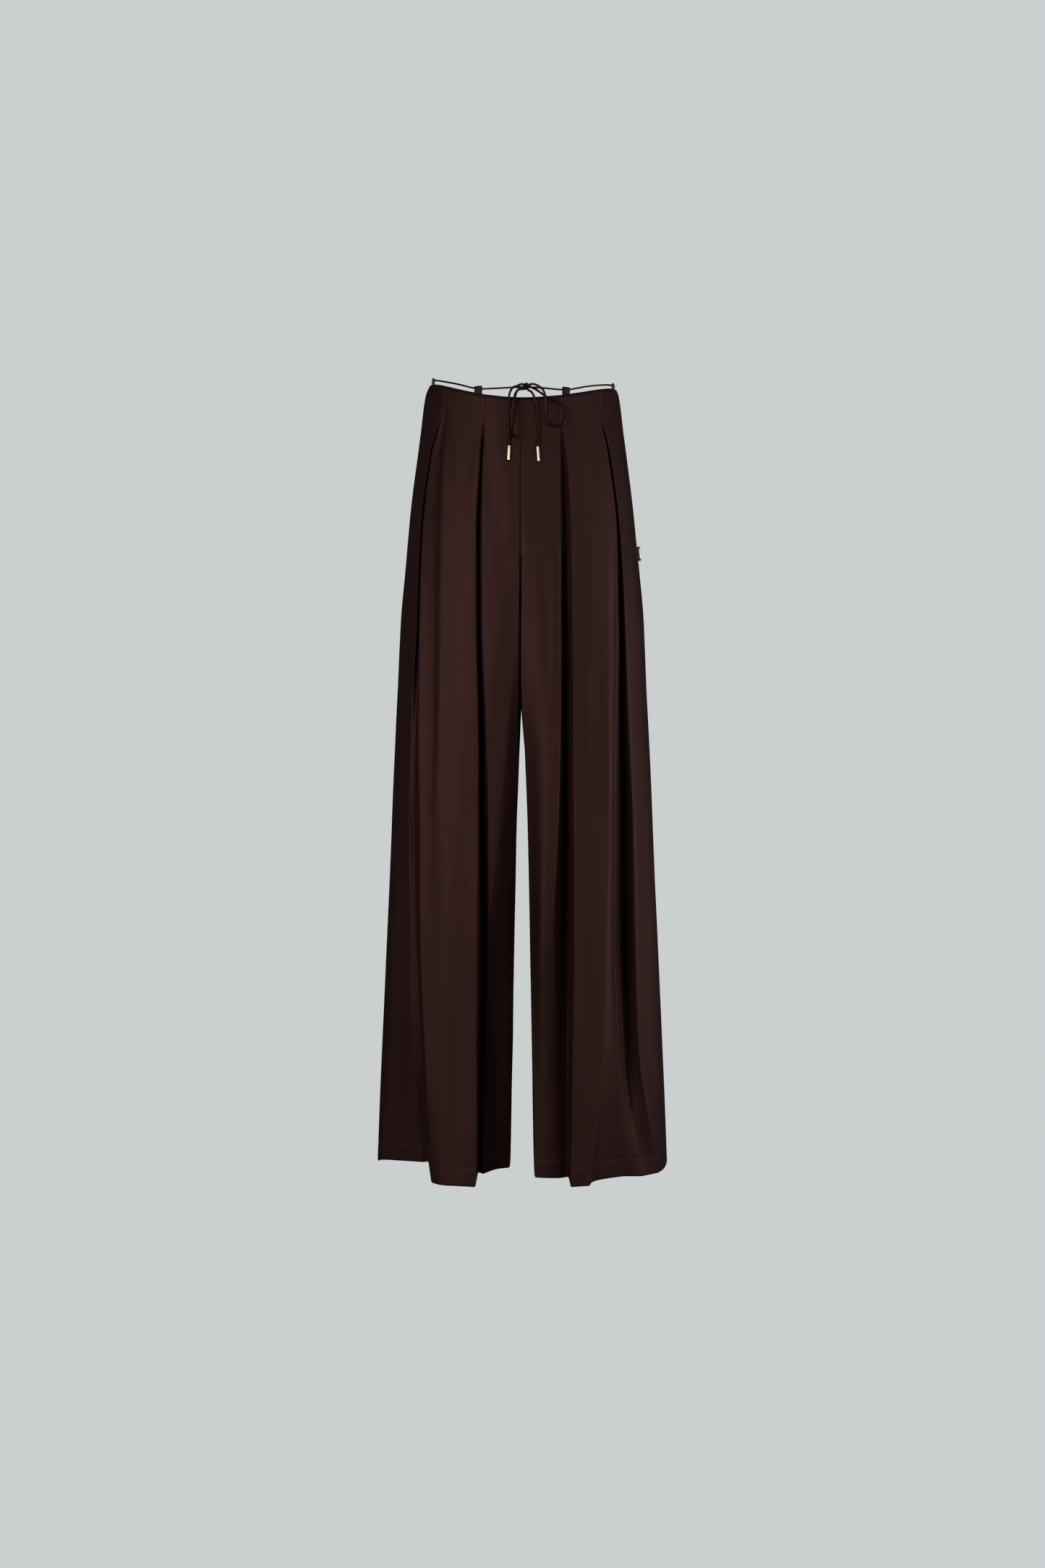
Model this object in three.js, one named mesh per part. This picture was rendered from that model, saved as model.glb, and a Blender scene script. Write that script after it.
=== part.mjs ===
// Flared pants in dark satin-like cloth, hollow and open as if worn, tied with a drawstring.
// Millimetres. +X is to the right as seen from the front, the front faces -Y and +Z is up.
// The origin is the middle of the waist opening, level with the side edges of the waist.
// "left" and "right" are as seen from the front.
import * as THREE from 'three'

// Driving sizes of the cloth
const WALL = 1.4
const HEM_WALL = 2.4
const HEM_DEPTH = 25
const SEAM_GAP = 0.3
const HALF_GAP = SEAM_GAP / 2

// Driving sizes of the cut, as distances below the origin
const WAIST_HALF_WIDTH = 128
const WAIST_SIDE_TILT = 3.5
const FRONT_WAIST_DROP = 34
const BACK_WAIST_DROP = 9
const TUCK_LENGTH = 31
const CROTCH_DROP = 320
const HEM_DROP = 1065
const SIDE_HEM_LIFT = 2
const GROOVE_WIDTH = 2.4
const GROOVE_DEPTH = 1.6

// Driving sizes of the trimmings
const CORD_DIAMETER = 3
const TAUT_CORD_DIAMETER = 2.4
const CORD_SIDES = 8
const KNOT_RADIUS = 4.3
const TIP_DIAMETER = 4.2
const TIP_LENGTH = 19.8
const LOOP_WIDTH = 10
const LOOP_STRIP = 1
const LOOP_HOLE = 4.4
const LOOP_SEAT = 1.15
const LOOP_ABOVE_EDGE = 11.8
const LOOP_BELOW_EDGE = 9
const FRONT_LOOP_ANGLE = 26.2
const SIDE_LOOP_ANGLE = 86.5
const BACK_LOOP_ANGLE = 21.5
const ORNAMENT_HEIGHT = 20
const ORNAMENT_WIDTH = 9
const ORNAMENT_THICKNESS = 4.2
const ORNAMENT_DROP = 225.5

// Colours, as seen in soft light
const FRONT_CLOTH_COLOUR = '#33201f'
const BACK_CLOTH_COLOUR = '#2f1d1c'
const CORD_COLOUR = '#2c1b1a'
const GOLD_COLOUR = '#c9a267'

// The side outline: half the garment's width at each drop.
const SIDE_OUTLINE = columns('drop halfWidth', [
  [-4, 128], [10, 133.5], [60, 140], [110, 146.5], [160, 152.5], [210, 157.5], [260, 162.5],
  [310, 167], [360, 169.5], [410, 171.5], [460, 174], [560, 178.5], [660, 182.5], [760, 187],
  [860, 191.5], [960, 196], [1065, 200],
])

// The smooth form under the folds: how far the front and the back stand off, and how square they are.
const BODY_FORM = columns('drop front frontSquare back backSquare', [
  [9, 94, 2.0, 91, 2.0],
  [34, 95, 2.0, 93, 2.0],
  [65, 97.5, 2.1, 97, 2.1],
  [122, 103, 2.3, 105, 2.3],
  [227, 107, 2.6, 115, 2.6],
  [332, 108, 2.8, 108, 2.7],
  [464, 111, 3.0, 101, 2.7],
  [606, 115, 3.0, 98, 2.7],
  [887, 123, 3.0, 99, 2.7],
  [1065, 128, 3.0, 102, 2.7],
])

// The rise seam in the middle, from the waist round under the crotch.
const RISE_SEAM = columns('drop front back', [
  [9, -94, 91], [34, -95, 93], [122, -103, 105], [200, -106, 113], [235, -104, 113],
  [262, -97, 104], [290, -79, 82], [310, -48, 50], [320, -HALF_GAP, HALF_GAP],
])

// Half the gap between the legs, how far forward and back each leg's inner side reaches, and how far
// both inner sides bulge to the right, halfway in, where they lie against each other.
const INNER_SIDE = columns('drop halfGap leftFront rightFront back bulge', [
  [200, HALF_GAP, -106, -106, 112, 0],
  [235, HALF_GAP, -105.6, -105.6, 110, 0],
  [262, HALF_GAP, -105, -105, 107, 0.6],
  [320, HALF_GAP, -102, -102.5, 92, 1.2],
  [400, HALF_GAP, -94, -97.5, 78, 1.2],
  [430, 0.3, -89, -95.5, 73, 0.9],
  [464, 1.9, -84, -93.5, 70, 0],
  [510, 4.2, -77, -91, 68, 0],
  [606, 7.6, -68, -88, 66, 0],
  [747, 10.5, -55, -85, 66, 0],
  [887, 13, -44, -84, 68, 0],
  [1065, 16, -34, -83, 72, 0],
])

// The folds of each front. A row holds one fold line: how far out it lies at each level, how far
// it is sunk behind the smooth form there, and how softly it turns.
const FOLD_LEVELS = [34, 65, 90, 122, 227, 332, 464, 606, 747, 887, 1065]
const LEFT_FOLDS = columns('name turn out sunk', [
  ['centre', 0, [24, 24, 24, 23.5, 23.5, 24.5, 25.5, 28.5, 30.5, 33, 35.5],
    [0, 0, 0, 0, 0, 0, 8, 20, 44, 66, 87]],
  ['centre edge', 2.6, [47.6, 48.6, 50, 52, 53.8, 53.2, 47.5, 44, 43.5, 48.5, 52],
    [0, 0, 0, 1, 2, 3, 7, 14, 28, 44, 60]],
  ['inner valley', 2.2, [48.8, 49.8, 51.8, 54.3, 57.3, 57, 55.3, 54, 54.5, 57, 58.5],
    [0.7, 0.8, 6, 12, 20, 26, 32, 38, 44, 54, 68]],
  ['inner edge', 2.4, [50, 51, 53.4, 56.4, 60.5, 60.5, 58.5, 58, 58.5, 60, 60],
    [0, 0, 0, 0, 0, 0, 0, 0, -1, -1, -3]],
  ['mid panel', 0, [75, 75.5, 76.5, 78, 81.5, 83.5, 84, 86, 86.5, 86.5, 80.5],
    [0, 0, 0, 0, 0, -1, -1, -1, -1, -1, -1]],
  ['fold line', 6, [100, 100.6, 102, 104.5, 108.5, 108.5, 110, 112, 112, 109, 97.5],
    [0, 0, 0, 0, 0, 0, 0, 0, 0, 0, 0]],
  ['strip', 0, [101.2, 101.8, 105, 109, 114, 115.5, 117, 122, 122.5, 118.5, 109],
    [0.7, 0.8, 3, 4, 5, 5, 5, 2, 1, 1, 2]],
  ['outer edge', 2.2, [102.4, 103.2, 111.5, 120.8, 134.3, 137.2, 138, 135.5, 134.5, 128, 119],
    [0, 0, 0, 0, 0, 0, 0, 0, 0, 0, 10]],
  ['outer valley', 2.2, [105, 104.4, 111.4, 120.7, 134.2, 137.2, 141.5, 144.5, 142, 136.5, 128],
    [0, 1.2, 6, 10, 15, 18, 16, 31, 43, 57, 85]],
  ['side edge', 2.6, [112, 110, 116, 125.6, 139.6, 143, 150, 152, 151, 146.5, 136],
    [0, 0, 0.6, 1.4, 2.4, 3.6, 11, 24, 38, 52, 80]],
  ['side turn', 0, [121, 123, 126, 135, 152, 161, 167.5, 173.5, 180, 186, 193],
    [0, 0, 0, 0, 2, 4, 8, 14, 22, 30, 42]],
])
const RIGHT_FOLDS = columns('name turn out sunk', [
  ['centre', 0, [25, 24.5, 24.5, 24.5, 24.5, 25.5, 25.5, 25.5, 24.5, 30, 39],
    [0, 0, 0, 0, 0, 0, 3, 6, 9, 26, 40]],
  ['centre edge', 2.2, [47.8, 48.8, 50, 50.2, 50.2, 50, 49.6, 46.5, 42, 44.5, 50],
    [0, 0, 0, 0, 0, 0, 1, 4, 12, 32, 40]],
  ['inner valley', 2.2, [49, 50, 52.5, 53.8, 54.8, 55.3, 56.2, 58, 60.5, 61, 61],
    [0.7, 0.8, 6, 12, 20, 27, 34, 38, 42, 45, 46]],
  ['inner edge', 2.6, [50.2, 51.4, 56.5, 61, 65, 66.3, 66.8, 67.2, 67.5, 65.5, 62.5],
    [0, 0, 0, 1, 2, 2, 2, 1, -1, -1, -3]],
  ['mid panel', 0, [75, 75.5, 79.5, 84, 86.5, 88.5, 89, 90, 89.5, 87.5, 76],
    [0, 0, 0, 0, 0, 0, 0, 0, 0, 0, -1]],
  ['fold line', 3.0, [96.4, 97.5, 102.5, 106.3, 112.5, 114, 114, 113.8, 110.5, 106.5, 88],
    [0, 0, 0, 0, 0, 0, 0, 0, 0, 0, 0]],
  ['strip', 0, [98.6, 100, 105, 110.5, 119.5, 120.5, 119, 118, 116.5, 116.5, 93],
    [0.2, 0.3, 1, 1.5, 2, 2, 2, 2, 4, 7, 24]],
  ['outer edge', 2.2, [100.4, 102, 107.5, 114.5, 126.3, 126.6, 124.3, 122.7, 121.8, 127, 134.5],
    [0, 0, 0, 0, 0, 0, 0, 0, 2, 9, 35]],
  ['outer valley', 2.2, [101.6, 102.9, 109.2, 116.4, 129, 131.8, 132.8, 135, 137, 140.5, 157.5],
    [0.7, 0.8, 5, 10, 17, 26, 34, 42, 46, 37, 24]],
  ['side edge', 2.4, [102.8, 104.2, 110.9, 118.3, 131.6, 137.2, 141.8, 147.8, 150, 154, 182.5],
    [0, 0, 0, 1, 2, 4, 6, 8, 8, 9, 18]],
  ['side turn', 0, [121, 123, 130, 138, 152, 161, 167.5, 173.5, 180, 186, 193],
    [0, 0, 0, 0, 0, 2, 4, 6, 8, 12, 18]],
])

// The back is plain: a stitched dart at the waist that opens into a soft flute below.
const BACK_LEVELS = [9, 60, 115, 200, 332, 464, 606, 887, 1065]
const BACK_FOLDS = columns('name turn out sunk', [
  ['centre', 0, [30, 30, 31, 33, 36, 36, 36, 38, 40], [0, 0, 0, 0, 0, 1, 1, 0, 0]],
  ['dart edge', 5, [61.8, 61.8, 61.8, 60, 58, 56, 55, 56, 58], [0, 0, 0, 0, 0, 0, 0, 0, -1]],
  ['dart', 6, [63, 63, 63, 70, 72, 71, 70, 72, 74], [0.7, 0.7, 0.4, 1, 4, 7, 10, 15, 18]],
  ['dart far edge', 6, [64.2, 64.2, 64.2, 80, 88, 88, 88, 90, 92], [0, 0, 0, 0, 0, 0, 0, -1, -2]],
  ['outer panel', 0, [82, 84, 90, 102, 108, 108, 108, 110, 112], [0, 0, 0, 0, 0, 0, -1, -2, -3]],
  ['flute', 9, [96, 99, 107, 120, 128, 129, 130, 133, 138], [0, 0, 0, 1, 4, 7, 10, 15, 18]],
  ['flute far edge', 8, [108, 112, 122, 134, 145, 149, 152, 158, 164], [0, 0, 0, 0, 0, 0, 0, 0, 0]],
  ['side turn', 0, [120, 128, 137, 148, 160, 166, 171, 183, 191], [0, 0, 0, 0, 0, 0, 0, 0, 0]],
])

// Rows of points down a panel, as drops at its middle seam.
const FRONT_ROWS = [
  34, 48, 65, 77, 90, 105, 122, 148, 175, 205, 235, 262, 290, 310, 320, 340, 370, 405, 437, 464,
  510, 560, 606, 650, 700, 747, 795, 840, 887, 930, 985, 1038, 1040, 1065,
]
const BACK_ROWS = [
  9, 34, 60, 90, 122, 160, 200, 235, 262, 290, 310, 320, 340, 370, 405, 437, 464,
  510, 560, 606, 675, 747, 820, 887, 960, 1038, 1040, 1065,
]

// Routes of the drawstring's free parts in front of the waist, from the knot.
const KNOT_CENTRE = [6.2, -97.5, -20.4]
const WAIST_CORD_AT_KNOT = [
  [2.1, -94.2, -20], [-14, -90.6, -20], [26, -90.6, -20.6], [10.2, -94.1, -20.8],
]
const LEFT_TAIL_ROUTE = [
  [1.7, -98.6, -17.8], [-2.2, -100.3, -18.6], [-6.6, -101.2, -21], [-11.1, -101.4, -22.5],
  [-14.5, -101, -26], [-16.5, -100.2, -30.6], [-17.4, -99.4, -37], [-17, -99.3, -47.4],
  [-16.8, -100, -60.9], [-16.9, -101.6, -76.5], [-17.1, -103.4, -90.2], [-17.1, -105, -99.3],
]
const RIGHT_TAIL_ROUTE = [
  [7.6, -98.1, -25.8], [9.6, -98.7, -26.5], [12, -99, -27.9], [14.9, -99.4, -32.7],
  [17.1, -99.2, -37.9], [19.1, -99, -45.4], [20.5, -99.4, -55], [21.4, -100.2, -64.8],
  [21.6, -101.2, -74.5], [21.4, -102.4, -84.3], [20.9, -103.9, -94.1], [20.3, -105.2, -100.7],
]
const LEFT_BOW_ROUTE = [
  [2.9, -97.8, -24.6], [0, -99.4, -24.6], [-3.4, -100.8, -25.4], [-6.8, -101.8, -27.8],
  [-9.2, -102.4, -32.1], [-10.8, -102.5, -37.8], [-12.4, -102.5, -44.5], [-13.5, -102.5, -52],
  [-13.9, -102.5, -61.5], [-13.8, -102.8, -73], [-13.1, -104.2, -82.3], [-12.1, -108.6, -89.4],
  [-10.8, -113.2, -86], [-9.6, -114.2, -76.8], [-9.2, -112.8, -66], [-9.5, -110.6, -54.1],
  [-9.7, -108.8, -44.2], [-9, -107.2, -36.2], [-6.8, -105.9, -29.2], [-2.8, -104.6, -24.4],
  [3.8, -102, -21.7],
]
const RIGHT_BOW_ROUTE = [
  [10.5, -98.3, -17.3], [15.6, -99.8, -18.2], [21.8, -100.8, -21.2], [26.9, -101.2, -25.3],
  [29.4, -101.2, -30.3], [30.4, -100.4, -36.3], [30.6, -98.9, -45.4], [31, -98.2, -54.7],
  [32.9, -98.1, -62.3], [37.1, -97.8, -68.7], [43.3, -97.1, -72.2], [50, -96.2, -71.6],
  [55.5, -94.8, -67.4], [58.1, -93.5, -60.2], [57.7, -92.9, -52.9], [54.3, -93.5, -46.4],
  [48.6, -94.4, -41.4], [41.9, -95, -37.9], [35.7, -95.5, -35.3], [30, -95.9, -32.3],
  [24.3, -96.8, -28.6], [18, -98.8, -24.8], [10.2, -100.9, -21.5],
]

// The drawstring's places round the waist: degrees from the middle, and height above the edge.
const WAIST_CORD = columns('degrees isFront above', [
  [FRONT_LOOP_ANGLE - 3, true, 8.8],
  [FRONT_LOOP_ANGLE + 3, true, 7.8],
  [40, true, 8.6],
  [55, true, 7.6],
  [70, true, 6.8],
  [SIDE_LOOP_ANGLE - 3, true, 7.2],
  [SIDE_LOOP_ANGLE + 3, true, 7.2],
  [72, false, 7.4],
  [54, false, 7.8],
  [BACK_LOOP_ANGLE + 3, false, 7.4],
  [BACK_LOOP_ANGLE - 3, false, 7.4],
  [10, false, 7.6],
])

// Turns rows of values into an object that holds one array for each named column.
function columns(names, rows) {
  const table = {}
  names.split(' ').forEach((name, index) => {
    table[name] = rows.map((row) => row[index])
  })
  return table
}

// A smooth curve through a column of values, which never overshoots between its rows.
function curve(places, values) {
  const last = places.length - 1
  const slopes = places.map((place, i) => {
    if (i === 0 || i === last) return 0
    const before = (values[i] - values[i - 1]) / (place - places[i - 1])
    const after = (values[i + 1] - values[i]) / (places[i + 1] - place)
    if (before * after <= 0) return 0
    return (2 * before * after) / (before + after)
  })
  slopes[0] = (values[1] - values[0]) / (places[1] - places[0])
  slopes[last] = (values[last] - values[last - 1]) / (places[last] - places[last - 1])
  return (place) => {
    if (place <= places[0]) return values[0]
    if (place >= places[last]) return values[last]
    let i = 0
    while (place > places[i + 1]) i += 1
    const span = places[i + 1] - places[i]
    const t = (place - places[i]) / span
    const rise = values[i + 1] - values[i]
    const start = slopes[i] * span
    const end = slopes[i + 1] * span
    return values[i] + t * (start + t * (3 * rise - 2 * start - end + t * (start + end - 2 * rise)))
  }
}

const halfWidthAt = curve(SIDE_OUTLINE.drop, SIDE_OUTLINE.halfWidth)
const frontReachAt = curve(BODY_FORM.drop, BODY_FORM.front)
const backReachAt = curve(BODY_FORM.drop, BODY_FORM.back)
const frontSquareAt = curve(BODY_FORM.drop, BODY_FORM.frontSquare)
const backSquareAt = curve(BODY_FORM.drop, BODY_FORM.backSquare)
const frontRiseAt = curve(RISE_SEAM.drop, RISE_SEAM.front)
const backRiseAt = curve(RISE_SEAM.drop, RISE_SEAM.back)
const halfGapAt = curve(INNER_SIDE.drop, INNER_SIDE.halfGap)
const leftInnerAt = curve(INNER_SIDE.drop, INNER_SIDE.leftFront)
const rightInnerAt = curve(INNER_SIDE.drop, INNER_SIDE.rightFront)
const backInnerAt = curve(INNER_SIDE.drop, INNER_SIDE.back)
const bulgeAt = curve(INNER_SIDE.drop, INNER_SIDE.bulge)

function clamp01(value) {
  return Math.min(1, Math.max(0, value))
}

// How much higher than the middle a point near the side lies: the waist edge rises to the sides,
// and the hem is a little higher at the side seam.
function liftAt(level, out, isLeft, waistDrop, hemLift) {
  const sideEdge = isLeft ? WAIST_SIDE_TILT : -WAIST_SIDE_TILT
  const sideways = clamp01(out / WAIST_HALF_WIDTH)
  const waistFade = 1 - clamp01((level - waistDrop - TUCK_LENGTH) / 200)
  const hemFade = clamp01((level - 900) / (HEM_DROP - 900))
  return (waistDrop + sideEdge) * sideways * sideways * waistFade + hemLift * hemFade
}

// The smooth form's depth at a level and a distance out.
function formDepth(level, drop, out, isFront) {
  const square = isFront ? frontSquareAt(level) : backSquareAt(level)
  const reach = isFront ? -frontReachAt(level) : backReachAt(level)
  const part = clamp01(out / halfWidthAt(drop))
  return reach * Math.pow(1 - Math.pow(part, square), 1 / square)
}

// Replaces the sharp point of a fold by two points, so that it turns softly.
function softTurn(before, point, after, turn) {
  const toBefore = before.clone().sub(point)
  const toAfter = after.clone().sub(point)
  const first = Math.min(turn, toBefore.length() * 0.36)
  const second = Math.min(turn, toAfter.length() * 0.36)
  return [
    point.clone().addScaledVector(toBefore.normalize(), first),
    point.clone().addScaledVector(toAfter.normalize(), second),
  ]
}

// One row of a panel's outer face, from the middle seam to the side seam. The x values are
// distances out, and the panel is mirrored afterwards if it is a left one.
function panelRow(panel, level) {
  const { isLeft, isFront, folds } = panel
  const sign = isFront ? -1 : 1
  const waistDrop = isFront ? FRONT_WAIST_DROP : BACK_WAIST_DROP
  const inner = isFront ? (isLeft ? leftInnerAt : rightInnerAt) : backInnerAt
  const point = (out, depth, hemLift) => {
    const lift = liftAt(level, out, isLeft, waistDrop, hemLift || 0)
    return new THREE.Vector3(out, depth, -level + lift)
  }

  // The middle: the rise seam above the crotch, the inner leg seam below it. Where the legs lie
  // against each other, their inner sides run back from a narrow groove in front.
  const above = level < CROTCH_DROP
  const seamOut = level > CROTCH_DROP ? halfGapAt(level) : HALF_GAP
  const rise = isFront ? frontRiseAt(level) : backRiseAt(level)
  const seamDepth = above ? rise : sign * HALF_GAP
  const splitting = clamp01((level - 225) / 37)
  const turnDepth = splitting > 0 ? inner(level) : formDepth(level, level, 12, isFront)
  const gap = Math.max(HALF_GAP, halfGapAt(level))
  const bulge = isFront ? bulgeAt(level) * (isLeft ? -1 : 1) : 0
  const { lerp } = THREE.MathUtils
  const halfwayDepth = seamDepth * 0.5 + turnDepth * 0.5
  const shoulder = isFront ? turnDepth - GROOVE_DEPTH * splitting : turnDepth * (1 + 0.06 * splitting)
  const row = [
    point(seamOut, seamDepth),
    point(lerp(4, gap + 0.1 + bulge, splitting), halfwayDepth),
    point(lerp(8, gap + 0.3, splitting), turnDepth),
    point(lerp(12, gap + (isFront ? GROOVE_WIDTH : 6), splitting), shoulder),
  ]

  // The folds.
  const marks = panel.folds.name.map((name, i) => {
    const out = panel.outAt[i](level)
    const lift = liftAt(level, out, isLeft, waistDrop, 0)
    const depth = formDepth(level, level - lift, out, isFront) - sign * panel.sunkAt[i](level)
    const outer = i > panel.folds.name.length - 4
    return point(out, depth, outer && isFront && isLeft ? SIDE_HEM_LIFT + 5 : 0)
  })
  const seamLift = liftAt(level, WAIST_HALF_WIDTH, isLeft, waistDrop, SIDE_HEM_LIFT)
  const halfWidth = halfWidthAt(level - seamLift)
  const lastMark = marks[marks.length - 1]
  const ends = [
    new THREE.Vector3(halfWidth - 0.8, lastMark.y * 0.38, -level + seamLift),
    new THREE.Vector3(halfWidth, sign * HALF_GAP, -level + seamLift),
  ]
  marks.forEach((mark, i) => {
    const turn = panel.folds.turn[i]
    const before = i === 0 ? row[row.length - 1] : marks[i - 1]
    const after = i === marks.length - 1 ? ends[0] : marks[i + 1]
    if (turn > 0) row.push(...softTurn(before, mark, after, turn))
    else row.push(mark)
  })
  row.push(...ends)
  return row
}

// The outward normal of one cell of a grid of points.
function cellNormal(grid, i, j, flip) {
  const across = grid[i + 1][j + 1].clone().sub(grid[i][j])
  const other = grid[i + 1][j].clone().sub(grid[i][j + 1])
  const normal = across.cross(other)
  if (flip) normal.negate()
  return normal.normalize()
}

// The wall's inner face: each outer point moved in by the wall, a little more at a turn.
// Points on a seam move within the seam's own plane, and points on an edge move level.
function innerGrid(panel, outer) {
  const rows = outer.length
  const cols = outer[0].length
  const flip = panel.isFront !== panel.isLeft
  return outer.map((line, i) => line.map((point, j) => {
    const level = panel.rows[i]
    const wall = level > HEM_DROP - HEM_DEPTH - 1 ? HEM_WALL : WALL
    if (j === cols - 1) return point.clone().add(new THREE.Vector3(panel.isLeft ? wall : -wall, 0, 0))
    if (j === 0) return point.clone().addScaledVector(seamInward(panel, outer, i), wall)
    const around = []
    for (const di of [-1, 0]) {
      for (const dj of [-1, 0]) {
        const inside = i + di >= 0 && i + di < rows - 1 && j + dj >= 0 && j + dj < cols - 1
        if (inside) around.push(cellNormal(outer, i + di, j + dj, flip))
      }
    }
    const normal = around.reduce((sum, one) => sum.add(one), new THREE.Vector3())
    if (i === 0 || i === rows - 1) normal.z = 0
    normal.normalize()
    const flatness = around.reduce((sum, one) => sum + one.dot(normal), 0) / around.length
    return point.clone().addScaledVector(normal, -wall / Math.max(0.8, flatness))
  }))
}

// The way in from a point on the middle seam, within the seam's plane.
function seamInward(panel, outer, i) {
  const level = panel.rows[i]
  const side = panel.isLeft ? -1 : 1
  if (level > CROTCH_DROP) return new THREE.Vector3(side, 0, 0)
  if (level === CROTCH_DROP) return new THREE.Vector3(0, 0, 1)
  if (i === 0) return new THREE.Vector3(0, panel.isFront ? 1 : -1, 0)
  const along = outer[i + 1][0].clone().sub(outer[i - 1][0])
  along.x = 0
  along.normalize()
  if (panel.isFront) return new THREE.Vector3(0, -along.z, along.y)
  return new THREE.Vector3(0, along.z, -along.y)
}

// A closed mesh from an outer and an inner grid of points, with a strip round the rim.
function wallGeometry(outer, inner, flip) {
  const rows = outer.length
  const cols = outer[0].length
  const positions = []
  for (const grid of [outer, inner]) {
    for (const line of grid) {
      for (const point of line) positions.push(point.x, point.y, point.z)
    }
  }
  const outerAt = (i, j) => i * cols + j
  const innerAt = (i, j) => rows * cols + i * cols + j
  const indices = []
  const quad = (a, b, c, d) => {
    if (flip) indices.push(a, c, b, a, d, c)
    else indices.push(a, b, c, a, c, d)
  }
  for (let i = 0; i < rows - 1; i += 1) {
    for (let j = 0; j < cols - 1; j += 1) {
      const straight = outer[i][j].distanceTo(outer[i + 1][j + 1])
      const cross = outer[i][j + 1].distanceTo(outer[i + 1][j])
      if (straight <= cross) {
        quad(outerAt(i, j), outerAt(i + 1, j), outerAt(i + 1, j + 1), outerAt(i, j + 1))
        quad(innerAt(i, j), innerAt(i, j + 1), innerAt(i + 1, j + 1), innerAt(i + 1, j))
      } else {
        quad(outerAt(i, j + 1), outerAt(i, j), outerAt(i + 1, j), outerAt(i + 1, j + 1))
        quad(innerAt(i, j + 1), innerAt(i + 1, j + 1), innerAt(i + 1, j), innerAt(i, j))
      }
    }
  }
  for (let j = 0; j < cols - 1; j += 1) {
    const end = rows - 1
    quad(outerAt(0, j), outerAt(0, j + 1), innerAt(0, j + 1), innerAt(0, j))
    quad(outerAt(end, j + 1), outerAt(end, j), innerAt(end, j), innerAt(end, j + 1))
  }
  for (let i = 0; i < rows - 1; i += 1) {
    const end = cols - 1
    quad(outerAt(i + 1, 0), outerAt(i, 0), innerAt(i, 0), innerAt(i + 1, 0))
    quad(outerAt(i, end), outerAt(i + 1, end), innerAt(i + 1, end), innerAt(i, end))
  }
  const geometry = new THREE.BufferGeometry()
  geometry.setAttribute('position', new THREE.Float32BufferAttribute(positions, 3))
  geometry.setIndex(indices)
  geometry.computeVertexNormals()
  return geometry
}

function panelGeometry(isLeft, isFront) {
  const folds = isFront ? (isLeft ? LEFT_FOLDS : RIGHT_FOLDS) : BACK_FOLDS
  const levels = isFront ? FOLD_LEVELS : BACK_LEVELS
  const panel = {
    isLeft,
    isFront,
    folds,
    rows: isFront ? FRONT_ROWS : BACK_ROWS,
    outAt: folds.out.map((values) => curve(levels, values)),
    sunkAt: folds.sunk.map((values) => curve(levels, values)),
  }
  const outer = panel.rows.map((level) => panelRow(panel, level))
  if (isLeft) {
    for (const line of outer) {
      for (const point of line) point.x = -point.x
    }
  }
  const inner = innerGrid(panel, outer)
  return wallGeometry(outer, inner, isFront === isLeft)
}

// A place on the waist edge, by its angle round from the middle: the edge's outer point, and the
// level way out of the cloth there.
function waistPlace(degrees, isLeft, isFront) {
  const angle = THREE.MathUtils.degToRad(degrees)
  const waistDrop = isFront ? FRONT_WAIST_DROP : BACK_WAIST_DROP
  const reach = isFront ? -frontReachAt(waistDrop) : backReachAt(waistDrop)
  const sideEdge = isLeft ? WAIST_SIDE_TILT : -WAIST_SIDE_TILT
  const drop = waistDrop - (waistDrop + sideEdge) * Math.sin(angle) ** 2
  const halfWidth = halfWidthAt(drop)
  const side = isLeft ? -1 : 1
  const across = side * Math.sin(angle)
  const edge = new THREE.Vector3(halfWidth * across, reach * Math.cos(angle), -drop)
  const outward = new THREE.Vector3(across / halfWidth, Math.cos(angle) / reach, 0).normalize()
  return { edge, outward }
}

// A belt loop: a strip of cloth folded into a tall ring, seated on the inside of the waist edge.
function beltLoop(place) {
  const width = LOOP_HOLE + 2 * LOOP_STRIP
  const ring = roundedOutline(new THREE.Shape(), width, -LOOP_BELOW_EDGE, LOOP_ABOVE_EDGE, 2.6)
  const holeBottom = -LOOP_BELOW_EDGE + LOOP_STRIP
  const holeTop = LOOP_ABOVE_EDGE - LOOP_STRIP
  ring.holes.push(roundedOutline(new THREE.Path(), LOOP_HOLE, holeBottom, holeTop, 1.7))
  const options = { depth: LOOP_WIDTH, bevelEnabled: false, curveSegments: 3 }
  const geometry = new THREE.ExtrudeGeometry(ring, options)
  geometry.translate(0, 0, -LOOP_WIDTH / 2)
  const up = new THREE.Vector3(0, 0, 1)
  const inward = place.outward.clone().negate()
  const along = new THREE.Vector3().crossVectors(inward, up)
  const centre = place.edge.clone().addScaledVector(inward, WALL + LOOP_SEAT + width / 2)
  geometry.applyMatrix4(new THREE.Matrix4().makeBasis(inward, up, along).setPosition(centre))
  return geometry
}

// A rounded rectangle, centred sideways on zero, as a shape or a hole.
function roundedOutline(path, width, bottom, top, radius) {
  const half = width / 2
  path.moveTo(-half + radius, bottom)
  path.lineTo(half - radius, bottom)
  path.absarc(half - radius, bottom + radius, radius, -Math.PI / 2, 0)
  path.lineTo(half, top - radius)
  path.absarc(half - radius, top - radius, radius, 0, Math.PI / 2)
  path.lineTo(-half + radius, top)
  path.absarc(-half + radius, top - radius, radius, Math.PI / 2, Math.PI)
  path.lineTo(-half, bottom + radius)
  path.absarc(-half + radius, bottom + radius, radius, Math.PI, Math.PI * 1.5)
  return path
}

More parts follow.
